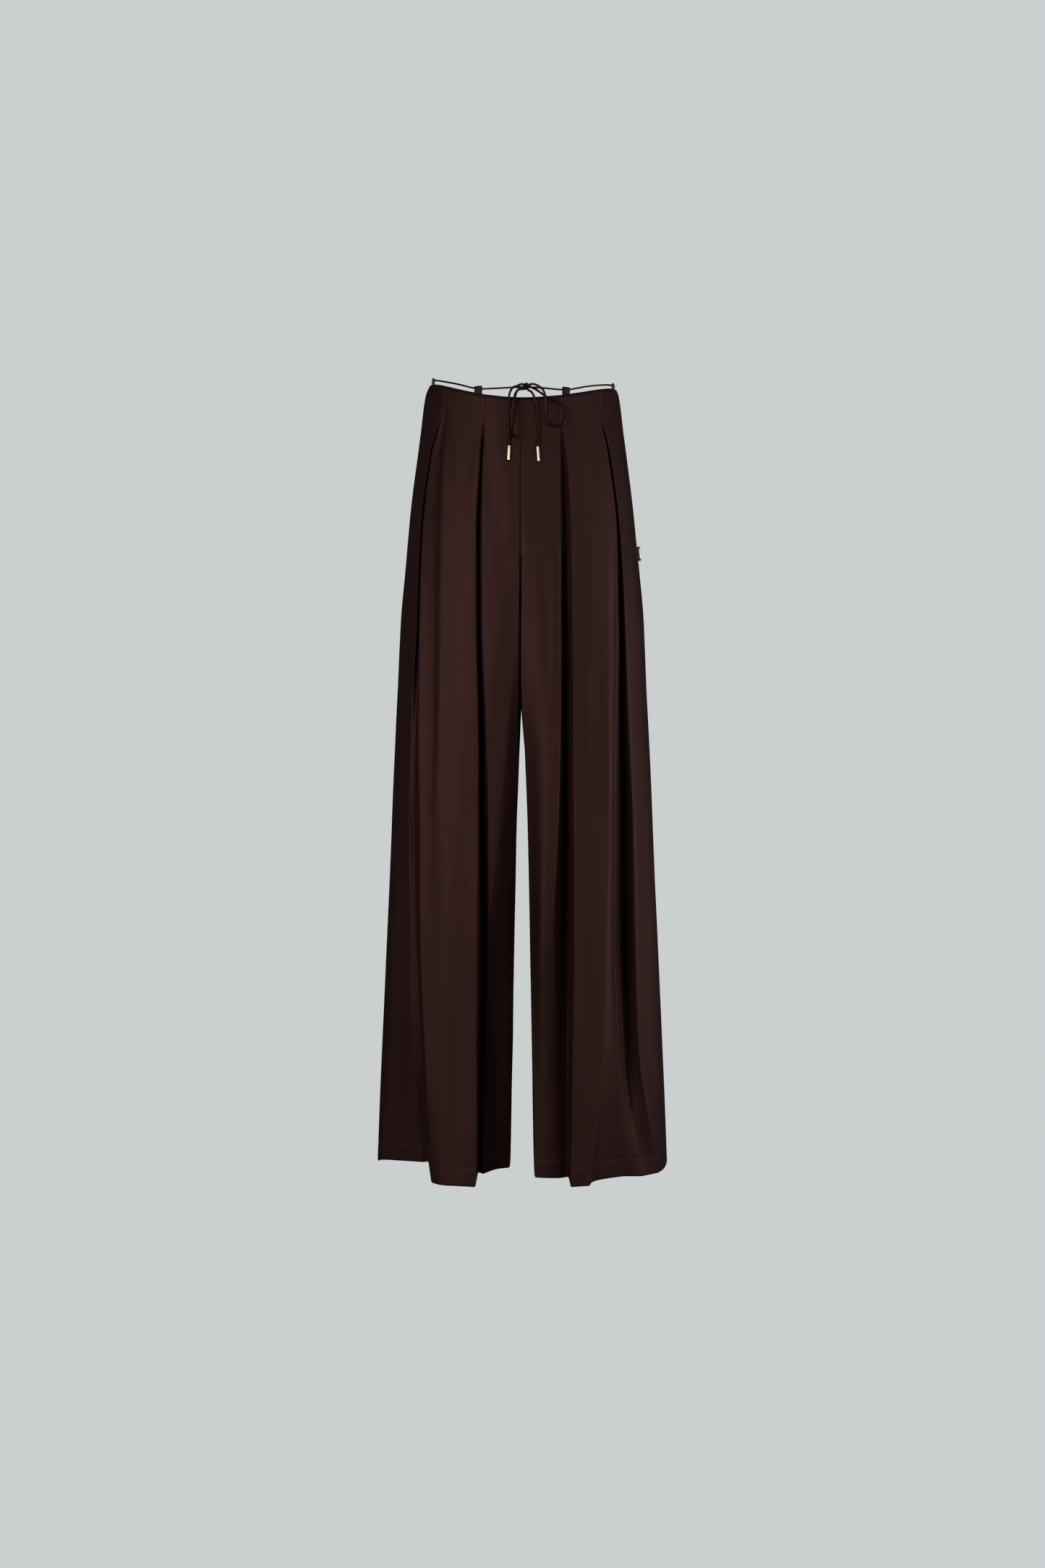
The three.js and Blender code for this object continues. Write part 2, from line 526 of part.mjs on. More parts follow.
// A round cord along a route.
function cordGeometry(points, steps, diameter) {
  const route = new THREE.CatmullRomCurve3(points, false, 'centripetal')
  const section = new THREE.Shape()
  for (let i = 0; i < CORD_SIDES; i += 1) {
    const angle = (i / CORD_SIDES) * Math.PI * 2
    const x = (Math.cos(angle) * diameter) / 2
    const y = (Math.sin(angle) * diameter) / 2
    if (i === 0) section.moveTo(x, y)
    else section.lineTo(x, y)
  }
  return new THREE.ExtrudeGeometry(section, { steps, extrudePath: route })
}

function routePoints(route) {
  return route.map((point) => new THREE.Vector3(...point))
}

// Where the drawstring passes a place on the waist: above the edge, in the middle of the loops.
function cordPoint(degrees, isLeft, isFront, above) {
  const place = waistPlace(degrees, isLeft, isFront)
  const inset = WALL + LOOP_SEAT + LOOP_STRIP + LOOP_HOLE / 2
  const point = place.edge.clone().addScaledVector(place.outward, -inset)
  point.z += above
  return point
}

// The drawstring's run round the waist, from the knot through the loops and back to it.
function waistRoute() {
  const { degrees, isFront, above } = WAIST_CORD
  const half = (isLeft) => degrees.map((angle, i) => cordPoint(angle, isLeft, isFront[i], above[i]))
  const atKnot = routePoints(WAIST_CORD_AT_KNOT)
  return [atKnot[0], atKnot[1], ...half(true), ...half(false).reverse(), atKnot[2], atKnot[3]]
}

// The metal tip on the end of a tail: a short round ferrule that hangs in line with it.
function tipGeometry(route, lean) {
  const end = new THREE.Vector3(...route[route.length - 1])
  const radius = TIP_DIAMETER / 2
  const profile = [
    new THREE.Vector2(0, 0),
    new THREE.Vector2(radius * 0.8, 0),
    new THREE.Vector2(radius, -0.8),
    new THREE.Vector2(radius, -TIP_LENGTH + 0.8),
    new THREE.Vector2(radius * 0.8, -TIP_LENGTH),
    new THREE.Vector2(0, -TIP_LENGTH),
  ].reverse()
  const geometry = new THREE.LatheGeometry(profile, 12)
  geometry.rotateX(Math.PI / 2)
  geometry.rotateY(lean)
  geometry.rotateX(-0.05)
  geometry.translate(end.x, end.y, end.z - 2 * SEAM_GAP)
  return geometry
}

// The plain metal link on the right side seam, a rounded bar with softened edges.
function ornamentGeometry() {
  const outline = new THREE.Shape()
  const bevel = 0.8
  const height = ORNAMENT_HEIGHT - 2 * bevel
  const width = ORNAMENT_WIDTH - 2 * bevel
  roundedOutline(outline, width, -height / 2, height / 2, width / 2 - 0.05)
  const depth = ORNAMENT_THICKNESS - 2 * bevel
  const options = {
    depth,
    bevelThickness: bevel,
    bevelSize: bevel,
    bevelSegments: 1,
    curveSegments: 5,
  }
  const geometry = new THREE.ExtrudeGeometry(outline, options)
  geometry.translate(0, 0, bevel)
  const top = halfWidthAt(ORNAMENT_DROP - ORNAMENT_HEIGHT / 2)
  const bottom = halfWidthAt(ORNAMENT_DROP + ORNAMENT_HEIGHT / 2)
  const lean = Math.atan2(bottom - top, ORNAMENT_HEIGHT)
  const outward = new THREE.Vector3(Math.cos(lean), 0, Math.sin(lean))
  const up = new THREE.Vector3(-Math.sin(lean), 0, Math.cos(lean))
  const side = new THREE.Vector3().crossVectors(up, outward)
  const seat = new THREE.Vector3(halfWidthAt(ORNAMENT_DROP), 0, -ORNAMENT_DROP)
  seat.addScaledVector(outward, SEAM_GAP + 0.1)
  geometry.applyMatrix4(new THREE.Matrix4().makeBasis(side, up, outward).setPosition(seat))
  return geometry
}

function surface(color, roughness, metalness) {
  return new THREE.MeshStandardMaterial({ color, roughness, metalness })
}

const cloth = surface(FRONT_CLOTH_COLOUR, 0.42, 0)
const backCloth = surface(BACK_CLOTH_COLOUR, 0.45, 0)
const cord = surface(CORD_COLOUR, 0.5, 0)
const gold = surface(GOLD_COLOUR, 0.25, 1)

const pants = new THREE.Group()

function addPiece(name, geometry, material) {
  const mesh = new THREE.Mesh(geometry, material)
  mesh.name = name
  pants.add(mesh)
}

addPiece('front_left', panelGeometry(true, true), cloth)
addPiece('front_right', panelGeometry(false, true), cloth)
addPiece('back_left', panelGeometry(true, false), backCloth)
addPiece('back_right', panelGeometry(false, false), backCloth)

const LOOPS = columns('name degrees isLeft isFront', [
  ['belt_loop_front_left', FRONT_LOOP_ANGLE, true, true],
  ['belt_loop_front_right', FRONT_LOOP_ANGLE, false, true],
  ['belt_loop_side_left', SIDE_LOOP_ANGLE, true, true],
  ['belt_loop_side_right', SIDE_LOOP_ANGLE, false, true],
  ['belt_loop_back_left', BACK_LOOP_ANGLE, true, false],
  ['belt_loop_back_right', BACK_LOOP_ANGLE, false, false],
])
LOOPS.name.forEach((name, i) => {
  const place = waistPlace(LOOPS.degrees[i], LOOPS.isLeft[i], LOOPS.isFront[i])
  addPiece(name, beltLoop(place), cloth)
})

const knot = new THREE.SphereGeometry(KNOT_RADIUS, 12, 8)
knot.translate(...KNOT_CENTRE)
addPiece('drawstring_knot', knot, cord)
addPiece('drawstring_waist', cordGeometry(waistRoute(), 78, TAUT_CORD_DIAMETER), cord)
const FREE_CORDS = columns('name route steps', [
  ['drawstring_tail_left', LEFT_TAIL_ROUTE, 18],
  ['drawstring_tail_right', RIGHT_TAIL_ROUTE, 16],
  ['bow_loop_left', LEFT_BOW_ROUTE, 36],
  ['bow_loop_right', RIGHT_BOW_ROUTE, 36],
])
FREE_CORDS.name.forEach((name, i) => {
  const points = routePoints(FREE_CORDS.route[i])
  addPiece(name, cordGeometry(points, FREE_CORDS.steps[i], CORD_DIAMETER), cord)
})
addPiece('tip_left', tipGeometry(LEFT_TAIL_ROUTE, 0.055), gold)
addPiece('tip_right', tipGeometry(RIGHT_TAIL_ROUTE, -0.062), gold)
addPiece('side_ornament', ornamentGeometry(), gold)

export default pants
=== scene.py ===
# %% [markdown]
# # Flared pants in dark satin, with a drawstring bow
# The garment hangs open and filled out, as if worn. This file dresses a rigid frame of the same
# garment: it loads the frame, sets the camera, and then makes each sewn piece again as thin cloth.
# Sizes are worked out in millimetres and turned to metres only when a mesh is made.

# %% Load the frame
import math
import bpy
import numpy as np
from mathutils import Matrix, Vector


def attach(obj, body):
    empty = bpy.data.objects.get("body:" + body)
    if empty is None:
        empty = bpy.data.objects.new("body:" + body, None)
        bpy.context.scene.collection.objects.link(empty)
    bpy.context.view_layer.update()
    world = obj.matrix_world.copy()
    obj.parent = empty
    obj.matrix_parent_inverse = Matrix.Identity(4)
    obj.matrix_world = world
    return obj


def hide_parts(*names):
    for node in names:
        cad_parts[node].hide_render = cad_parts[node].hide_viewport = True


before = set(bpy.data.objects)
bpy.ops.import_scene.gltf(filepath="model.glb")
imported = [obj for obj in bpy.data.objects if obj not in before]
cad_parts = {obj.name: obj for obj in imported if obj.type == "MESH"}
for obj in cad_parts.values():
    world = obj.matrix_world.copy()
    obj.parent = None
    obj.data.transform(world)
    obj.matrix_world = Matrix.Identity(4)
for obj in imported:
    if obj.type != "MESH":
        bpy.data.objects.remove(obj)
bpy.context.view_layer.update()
MM = 0.001
print("frame nodes:", len(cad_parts))

# %% [markdown]
# ## The camera
# The waist edge and the hem both look level with an eye at mid height, about two metres away, so
# the camera stands there and looks straight along +Y. The upright picture is 2168 dots high. With
# that side as the sensor's side, one dot is one millimetre at the garment's side seams.

# %% Camera
PICTURE_HEIGHT = 2168
CAMERA_DISTANCE = 2.0
CAMERA_HEIGHT = -0.5435
SENSOR = 36.0

camera_data = bpy.data.cameras.new("camera")
camera_data.sensor_width = SENSOR
camera_data.lens = SENSOR * CAMERA_DISTANCE / (PICTURE_HEIGHT * MM)
camera = bpy.data.objects.new("camera", camera_data)
bpy.context.scene.collection.objects.link(camera)
camera.location = (0.0005, -CAMERA_DISTANCE, CAMERA_HEIGHT)
camera.rotation_euler = (math.radians(90), 0, 0)
bpy.context.scene.camera = camera
bpy.context.scene.view_settings.view_transform = "Standard"
print("lens in mm:", round(camera_data.lens, 2))

# %% [markdown]
# ## Materials: how they are written
# Every colour is the sRGB value that an eye would pick from a screen, turned to linear light by one
# function. One small function adds a node with its settings and its links.

# %% Colour and node helpers
def linear(hex_colour):
    """An sRGB hex colour as linear red, green, blue and alpha."""
    parts = [int(hex_colour[i:i + 2], 16) / 255 for i in (1, 3, 5)]
    parts = [c / 12.92 if c <= 0.04045 else ((c + 0.055) / 1.055) ** 2.4 for c in parts]
    return (*parts, 1.0)


def add_node(tree, kind, settings=None, links=None):
    """Adds a node, sets its properties or sockets by name, and links its sockets to others."""
    node = tree.nodes.new(kind)
    for name, value in (settings or {}).items():
        if hasattr(node, str(name)) and name not in node.inputs:
            setattr(node, name, value)
        else:
            node.inputs[name].default_value = value
    for name, source in (links or {}).items():
        tree.links.new(source, node.inputs[name])
    return node


def new_material(name):
    """An empty node material with its output node."""
    material = bpy.data.materials.new(name)
    material.use_nodes = True
    material.node_tree.nodes.clear()
    return material, material.node_tree, add_node(material.node_tree, "ShaderNodeOutputMaterial")


print("a lit fold in linear light:", [round(c, 4) for c in linear("#321f1e")[:3]])

# %% [markdown]
# ## Satin
# The cloth is a warp-faced satin of fine polyester filament, dyed almost black brown. Long floats lie
# side by side down the cloth, so nearly all that the eye sees of it is a soft tinted gloss, and the
# valleys that catch no light go black. The floats are far too fine to show (about 0.1 mm), so they
# are drawn as streaks about 0.8 mm wide and some 12 mm long. The wrong side has the short ends of
# the weave, so it is duller.

# %% Satin materials
THREAD_STREAK_MM = 0.8
THREAD_STREAK_LENGTH_MM = 12.0
GLOW = "#df958c"


def satin(name, dark, light, roughness, shine, streak_depth_mm):
    """Satin with streaks along the warp and a slow change of shade over the cloth."""
    material, tree, output = new_material(name)
    place = add_node(tree, "ShaderNodeTexCoord")
    streak_scale = (1000 / THREAD_STREAK_MM, 1000 / THREAD_STREAK_MM, 1000 / THREAD_STREAK_LENGTH_MM)
    stretched = add_node(tree, "ShaderNodeMapping", {"Scale": streak_scale},
                         {"Vector": place.outputs["Object"]})
    streaks = add_node(tree, "ShaderNodeTexNoise", {"Scale": 1.0, "Detail": 3.0, "Roughness": 0.6},
                       {"Vector": stretched.outputs["Vector"]})
    slow_place = add_node(tree, "ShaderNodeMapping", {"Scale": (14, 14, 5)},
                          {"Vector": place.outputs["Object"]})
    slow = add_node(tree, "ShaderNodeTexNoise", {"Scale": 1.0, "Detail": 2.0},
                    {"Vector": slow_place.outputs["Vector"]})
    blend = add_node(tree, "ShaderNodeMath", {"operation": "MULTIPLY_ADD", 1: 0.35},
                     {0: streaks.outputs["Fac"], 2: slow.outputs["Fac"]})
    shade = add_node(tree, "ShaderNodeValToRGB", {}, {"Fac": blend.outputs["Value"]})
    shade.color_ramp.elements[0].position = 0.45
    shade.color_ramp.elements[0].color = linear(dark)
    shade.color_ramp.elements[1].position = 0.9
    shade.color_ramp.elements[1].color = linear(light)
    gloss = add_node(tree, "ShaderNodeMapRange",
                     {"From Min": 0.3, "From Max": 0.7, "To Min": roughness - 0.05,
                      "To Max": roughness + 0.06},
                     {"Value": streaks.outputs["Fac"]})
    relief = add_node(tree, "ShaderNodeBump", {"Strength": 0.35, "Distance": streak_depth_mm * MM},
                      {"Height": streaks.outputs["Fac"]})
    surface = add_node(tree, "ShaderNodeBsdfPrincipled",
                       {"IOR": 1.5, "Specular IOR Level": shine, "Specular Tint": linear(GLOW)},
                       {"Base Color": shade.outputs["Color"], "Roughness": gloss.outputs["Result"],
                        "Normal": relief.outputs["Normal"]})
    tree.links.new(surface.outputs["BSDF"], output.inputs["Surface"])
    return material


satin_face = satin("polyester satin, face", "#211413", "#2a1a18", 0.55, 0.38, 0.12)
satin_reverse = satin("polyester satin, wrong side", "#1e1211", "#251716", 0.7, 0.2, 0.15)
satin_cord = satin("satin tube cord", "#0e0706", "#150b0a", 0.4, 0.5, 0.10)
print("satin streak in mm:", THREAD_STREAK_MM)

# %% [markdown]
# ## Thread and gold-tone metal
# The hem and the tucks are sewn with spun polyester thread, a shade lighter than the cloth. The cord
# tips and the small side link are cast zinc with a pale gold plating: a metal, quite smooth, with
# faint wear, so it mirrors the lights in bright streaks.

# %% Thread and metal materials
def speckled(name, scale, detail, dark, light, settings, rough=None):
    """A material whose shade, and roughness where a pair is given, follow one fine noise."""
    material, tree, output = new_material(name)
    place = add_node(tree, "ShaderNodeTexCoord")
    noise = add_node(tree, "ShaderNodeTexNoise", {"Scale": scale, "Detail": detail},
                     {"Vector": place.outputs["Object"]})
    shade = add_node(tree, "ShaderNodeValToRGB", {}, {"Fac": noise.outputs["Fac"]})
    shade.color_ramp.elements[0].color = linear(dark)
    shade.color_ramp.elements[1].color = linear(light)
    links = {"Base Color": shade.outputs["Color"]}
    if rough:
        spread = add_node(tree, "ShaderNodeMapRange", {"To Min": rough[0], "To Max": rough[1]},
                          {"Value": noise.outputs["Fac"]})
        links["Roughness"] = spread.outputs["Result"]
    surface = add_node(tree, "ShaderNodeBsdfPrincipled", settings, links)
    tree.links.new(surface.outputs["BSDF"], output.inputs["Surface"])
    return material


# Dull, with a fine twist too small to draw: the eye sees a soft broken line.
thread = speckled("spun polyester thread", 1500.0, 2.0, "#3d2927", "#574240",
                  {"IOR": 1.5, "Roughness": 0.6})
# Lightly rubbed: the eye sees bright upright streaks with soft edges.
gold = speckled("gold plated zinc", 400.0, 4.0, "#ecd7b2", "#f8ecd0", {"Metallic": 1.0}, (0.3, 0.42))
print("materials:", [m.name for m in (satin_face, satin_reverse, satin_cord, thread, gold)])

# %% [markdown]
# ## The drawstring's free parts
# The cord is a satin tube about 3 mm thick, turned inside out over its own seam. It is tied in front
# in a bow: a long narrow loop on the left, a round loop on the right, and two tails that hang down to
# their metal tips. Each part follows a few listed points, joined by a centripetal Catmull-Rom
# curve, which keeps a soft cord free of kinks and overshoot.

# %% Cord routes in millimetres
CORD_DIAMETER = 3.0
TAUT_CORD_DIAMETER = 2.4
KNOT_CENTRE = (6.2, -97.5, -20.4)
LEFT_TAIL_ROUTE = [
    (2.4, -98.4, -18.2), (-2.2, -100.3, -18.6), (-6.6, -101.2, -21), (-11.1, -101.4, -22.5),
    (-14.5, -101, -26), (-16.5, -100.2, -30.6), (-17.4, -99.4, -37), (-17, -99.3, -47.4),
    (-16.8, -100, -60.9), (-16.9, -101.6, -76.5), (-17.1, -103.4, -90.2), (-17.1, -105, -99.3),
]
RIGHT_TAIL_ROUTE = [
    (7.3, -98, -24.9), (9.6, -98.7, -26.5), (12, -99, -27.9), (14.9, -99.4, -32.7),
    (17.1, -99.2, -37.9), (19.1, -99, -45.4), (20.5, -99.4, -55), (21.4, -100.2, -64.8),
    (21.6, -101.2, -74.5), (21.4, -102.4, -84.3), (20.9, -103.9, -94.1), (20.3, -105.2, -100.7),
]
LEFT_BOW_ROUTE = [
    (3.4, -97.8, -24), (0, -99.4, -24.6), (-3.4, -100.8, -25.4), (-6.8, -101.8, -27.8),
    (-9.2, -102.4, -32.1), (-10.8, -102.5, -37.8), (-12.4, -102.5, -44.5), (-13.5, -102.5, -52),
    (-13.9, -102.5, -61.5), (-13.8, -102.8, -73), (-13.1, -104.2, -82.3), (-12.1, -108.6, -89.4),
    (-10.8, -113.2, -86), (-9.6, -114.2, -76.8), (-9.2, -112.8, -66), (-9.5, -110.6, -54.1),
    (-9.7, -108.8, -44.2), (-9, -107.2, -36.2), (-6.8, -105.9, -29.2), (-2.8, -104.6, -24.4),
    (4.1, -101.2, -21.5),
]
RIGHT_BOW_ROUTE = [
    (9.8, -98.1, -17.8), (15.6, -99.8, -18.2), (21.8, -100.8, -21.2), (26.9, -101.2, -25.3),
    (29.4, -101.2, -30.3), (30.4, -100.4, -36.3), (30.6, -98.9, -45.4), (31, -98.2, -54.7),
    (32.9, -98.1, -62.3), (37.1, -97.8, -68.7), (43.3, -97.1, -72.2), (50, -96.2, -71.6),
    (55.5, -94.8, -67.4), (58.1, -93.5, -60.2), (57.7, -92.9, -52.9), (54.3, -93.5, -46.4),
    (48.6, -94.4, -41.4), (41.9, -95, -37.9), (35.7, -95.5, -35.3), (30, -95.9, -32.3),
    (24.3, -96.8, -28.6), (18, -98.8, -24.8), (9.6, -100.3, -21.4),
]


def smooth_route(points, steps):
    """A centripetal Catmull-Rom curve through the points, as steps + 1 evenly numbered places."""
    points = [Vector(p) for p in points]
    ends = [points[0] * 2 - points[1]] + points + [points[-1] * 2 - points[-2]]
    places = []
    for step in range(steps + 1):
        along = step / steps * (len(points) - 1)
        i = min(int(along), len(points) - 2)
        t = along - i
        p0, p1, p2, p3 = ends[i:i + 4]
        d0, d1, d2 = [max(1e-4, (b - a).length ** 0.5) for a, b in ((p0, p1), (p1, p2), (p2, p3))]
        m1 = ((p1 - p0) / d0 - (p2 - p0) / (d0 + d1) + (p2 - p1) / d1) * d1
        m2 = ((p2 - p1) / d1 - (p3 - p1) / (d1 + d2) + (p3 - p2) / d2) * d1
        places.append(p1 + m1 * t + (3 * (p2 - p1) - 2 * m1 - m2) * t ** 2
                      + (2 * (p1 - p2) + m1 + m2) * t ** 3)
    return places


def route_length(places):
    return sum((b - a).length for a, b in zip(places, places[1:]))


def state_piece(piece, node):
    """Puts a piece on the one body and hides the frame node that it replaces."""
    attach(piece, "root")
    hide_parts(node)


def cord_curve(name, places, diameter=CORD_DIAMETER):
    """A round cord as a curve object with one open spline."""
    data = bpy.data.curves.new(name, "CURVE")
    data.dimensions = "3D"
    data.bevel_depth = diameter / 2 * MM
    data.bevel_resolution = 4
    data.use_fill_caps = True
    spline = data.splines.new("POLY")
    spline.points.add(len(places) - 1)
    for point, place in zip(spline.points, places):
        point.co = (*(place * MM), 1.0)
    spline.use_smooth = True
    data.materials.append(satin_cord)
    piece = bpy.data.objects.new(name, data)
    bpy.context.scene.collection.objects.link(piece)
    return piece


cords = {}
for name, node, route, steps in (
    ("tail_left", "drawstring_tail_left", LEFT_TAIL_ROUTE, 60),
    ("tail_right", "drawstring_tail_right", RIGHT_TAIL_ROUTE, 56),
    ("bow_left", "bow_loop_left", LEFT_BOW_ROUTE, 120),
    ("bow_right", "bow_loop_right", RIGHT_BOW_ROUTE, 120),
):
    places = smooth_route(route, steps)
    cords[name] = cord_curve(name, places)
    state_piece(cords[name], node)

# %% [markdown]
# ## The cut of the cloth
# A garment like this could be draped by simulation, but its look depends on where each pleat and
# fold falls, so every section is worked out from tables instead. A row of a table is one fold line,
# with its distance out from the middle and how far it is sunk behind the smooth form, at a few
# levels down the leg. Smooth curves through the columns give every section between. The two legs
# touch below the crotch and part slowly, as they do on a standing figure.

# %% Named sizes of the cut
WALL = 0.9
HEM_WALL = 1.9
HEM_DEPTH = 25
SEAM_TURNING = 3.0
SEAM_LEAN = 0.5
HALF_GAP = 0.06
WAIST_HALF_WIDTH = 128
WAIST_SIDE_TILT = 3.5
FRONT_WAIST_DROP = 34
BACK_WAIST_DROP = 9
TUCK_LENGTH = 31
CROTCH_DROP = 320
HEM_DROP = 1065
SIDE_HEM_LIFT = 2
WAIST_LIFT_FADE = 200
HEM_LIFT_DROP = 900
GROOVE_WIDTH = 2.4
GROOVE_DEPTH = 1.6
SEAM_DIP = 1.6
SEAM_SHIFT = 2.6
SEAM_SHAPE_TOP = 60
SEAM_SHAPE_BOTTOM = 500
SEAM_DIP_FADE = 60
SHIFT_FADE_IN = 70
SHIFT_FADE_OUT = 60
SPLIT_DROP = 225
SPLIT_FADE = 37
SEAM_EDGE_FRONT = 1.5
SEAM_EDGE_BACK = 4
SEAM_TURN = 8
SEAM_FLAT = 12
BACK_SHOULDER_WIDTH = 6
BACK_SHOULDER_SWELL = 0.06
SIDE_TURN_INSET = 0.8
SIDE_TURN_SHARE = 0.38
OUTER_FOLD_LIFT = 7
SEAM_DENT = 0.35
SEAM_FADE_COLUMNS = 8
HEM_STITCH_GROOVE = 0.3
HEM_GROOVE_WIDTH = 1.3
HEM_EDGE_SHARE = 0.45
WAIST_EDGE_SHARE = 0.6
WAIST_CALM_LENGTH = 30
WAIST_CALM_LEAST = 0.15


def columns(names, rows):
    """Rows of values as one list for each named column."""
    return {name: [row[i] for row in rows] for i, name in enumerate(names.split())}


def curve(places, values):
    """A smooth curve through a column of values, which never overshoots between its rows."""
    steps = [(values[i + 1] - values[i]) / (places[i + 1] - places[i]) for i in range(len(places) - 1)]
    slopes = [steps[0]]
    for before, after in zip(steps, steps[1:]):
        slopes.append(0.0 if before * after <= 0 else 2 * before * after / (before + after))
    slopes.append(steps[-1])

    def at(place):
        if place <= places[0]:
            return values[0]
        if place >= places[-1]:
            return values[-1]
        i = 0
        while place > places[i + 1]:
            i += 1
        span = places[i + 1] - places[i]
        t = (place - places[i]) / span
        rise = values[i + 1] - values[i]
        start, end = slopes[i] * span, slopes[i + 1] * span
        return values[i] + t * (start + t * (3 * rise - 2 * start - end + t * (start + end - 2 * rise)))

    return at


print("from waist to hem in mm:", HEM_DROP)

# %% The outline and the form under the folds
SIDE_OUTLINE = columns("drop half_width", [
    (-4, 128), (10, 133.5), (60, 140), (110, 146.5), (160, 152.5), (210, 157.5), (260, 162.5),
    (310, 167), (360, 169.5), (410, 171.5), (460, 174), (560, 178.5), (660, 182.5), (760, 187),
    (860, 191.5), (960, 196), (1065, 200),
])
BODY_FORM = columns("drop front front_square back back_square", [
    (9, 94, 2.0, 91, 2.0),
    (34, 95, 2.0, 93, 2.0),
    (65, 97.5, 2.1, 97, 2.1),
    (122, 103, 2.3, 105, 2.3),
    (227, 107, 2.6, 115, 2.6),
    (332, 108, 2.8, 108, 2.7),
    (464, 111, 3.0, 101, 2.7),
    (606, 115, 3.0, 98, 2.7),
    (887, 123, 3.0, 99, 2.7),
    (1065, 128, 3.0, 102, 2.7),
])
RISE_SEAM = columns("drop front back", [
    (9, -94, 91), (34, -95, 93), (122, -103, 105), (200, -106, 113), (235, -104, 113),
    (262, -97, 104), (290, -79, 82), (310, -48, 50), (320, -0.15, 0.15),
])
INNER_SIDE = columns("drop half_gap left_front right_front back bulge", [
    (200, 0.06, -106, -106, 112, 0),
    (235, 0.06, -105.6, -105.6, 110, 0),
    (262, 0.08, -105, -105, 107, 0.6),
    (320, 0.1, -102, -102.5, 92, 1.2),
    (400, 0.15, -94, -97.5, 78, 1.0),
    (430, 0.9, -89, -95.5, 73, 0.4),
    (464, 2.2, -84, -93.5, 70, 0),
    (510, 4.2, -77, -91, 68, 0),
    (606, 7.6, -68, -88, 66, 0),
    (747, 10.5, -55, -85, 66, 0),
    (887, 13, -44, -84, 68, 0),
    (1065, 16, -34, -83, 72, 0),
])
half_width_at = curve(SIDE_OUTLINE["drop"], SIDE_OUTLINE["half_width"])
form_at = {name: curve(BODY_FORM["drop"], BODY_FORM[name]) for name in BODY_FORM if name != "drop"}
rise_at = {name: curve(RISE_SEAM["drop"], RISE_SEAM[name]) for name in RISE_SEAM if name != "drop"}
inner_at = {name: curve(INNER_SIDE["drop"], INNER_SIDE[name]) for name in INNER_SIDE if name != "drop"}
print("half width at the hem in mm:", half_width_at(HEM_DROP))

# %% The fold lines of the fronts
# The left front's outer pleat opens 3 mm less than in the frame, so that it reads as one dark line.
FOLD_LEVELS = [34, 65, 90, 122, 227, 332, 464, 606, 747, 887, 1065]
LEFT_FOLDS = columns("name turn out sunk", [
    ("centre", 0, [24, 24, 24, 23.5, 23.5, 24.5, 25.5, 28.5, 30.5, 33, 35.5],
     [0, 0, 0, 0, 0, 0, 8, 20, 44, 66, 87]),
    ("centre edge", 2.6, [47.6, 48.6, 50, 52, 53.8, 53.2, 47.5, 44, 43.5, 48.5, 52],
     [0, 0, 0, 1, 2, 3, 7, 14, 28, 44, 60]),
    ("inner valley", 2.2, [48.8, 49.8, 51.8, 54.3, 57.3, 57, 55.3, 54, 54.5, 57, 58.5],
     [0.7, 0.8, 6, 12, 20, 26, 32, 38, 44, 54, 68]),
    ("inner edge", 2.4, [50, 51, 53.4, 56.4, 60.5, 60.5, 58.5, 58, 58.5, 60, 60],
     [0, 0, 0, 0, 0, 0, 0, 0, -1, -1, -3]),
    ("mid panel", 0, [75, 75.5, 76.5, 78, 81.5, 83.5, 84, 86, 86.5, 86.5, 80.5],
     [0, 0, 0, 0, 0, -1, -1, -1, -1, -1, -1]),
    ("fold line", 6, [100, 100.6, 102, 104.5, 108.5, 108.5, 110, 112, 112, 109, 97.5],
     [0, 0, 0, 0, 0, 0, 0, 0, 0, 0, 0]),
    ("strip", 0, [101.2, 101.8, 105, 109, 114, 115.5, 117, 122, 122.5, 118.5, 109],
     [0.7, 0.8, 3, 4, 5, 5, 5, 2, 1, 1, 2]),
    ("outer edge", 2.2, [102.4, 103.2, 111.5, 120.8, 134.3, 137.2, 138, 135.5, 134.5, 128, 119],
     [0, 0, 0, 0, 0, 0, 0, 0, 0, 0, 10]),
    ("outer valley", 2.2, [105, 104.4, 111.4, 120.7, 134.2, 137.2, 141.5, 144.5, 142, 136.5, 128],
     [0, 1.2, 6, 10, 15, 18, 16, 31, 43, 57, 85]),
    ("side edge", 2.6, [112, 107.4, 113.7, 123.1, 136.9, 140.4, 148.5, 152, 151, 146.5, 136],
     [0, 0, 0.3, 0.8, 1.5, 2.6, 10, 24, 38, 52, 80]),
    ("side turn", 0, [121, 123, 126, 135, 152, 161, 167.5, 173.5, 180, 186, 193],
     [0, 0, 0, 0, 2, 4, 8, 14, 22, 30, 42]),
])
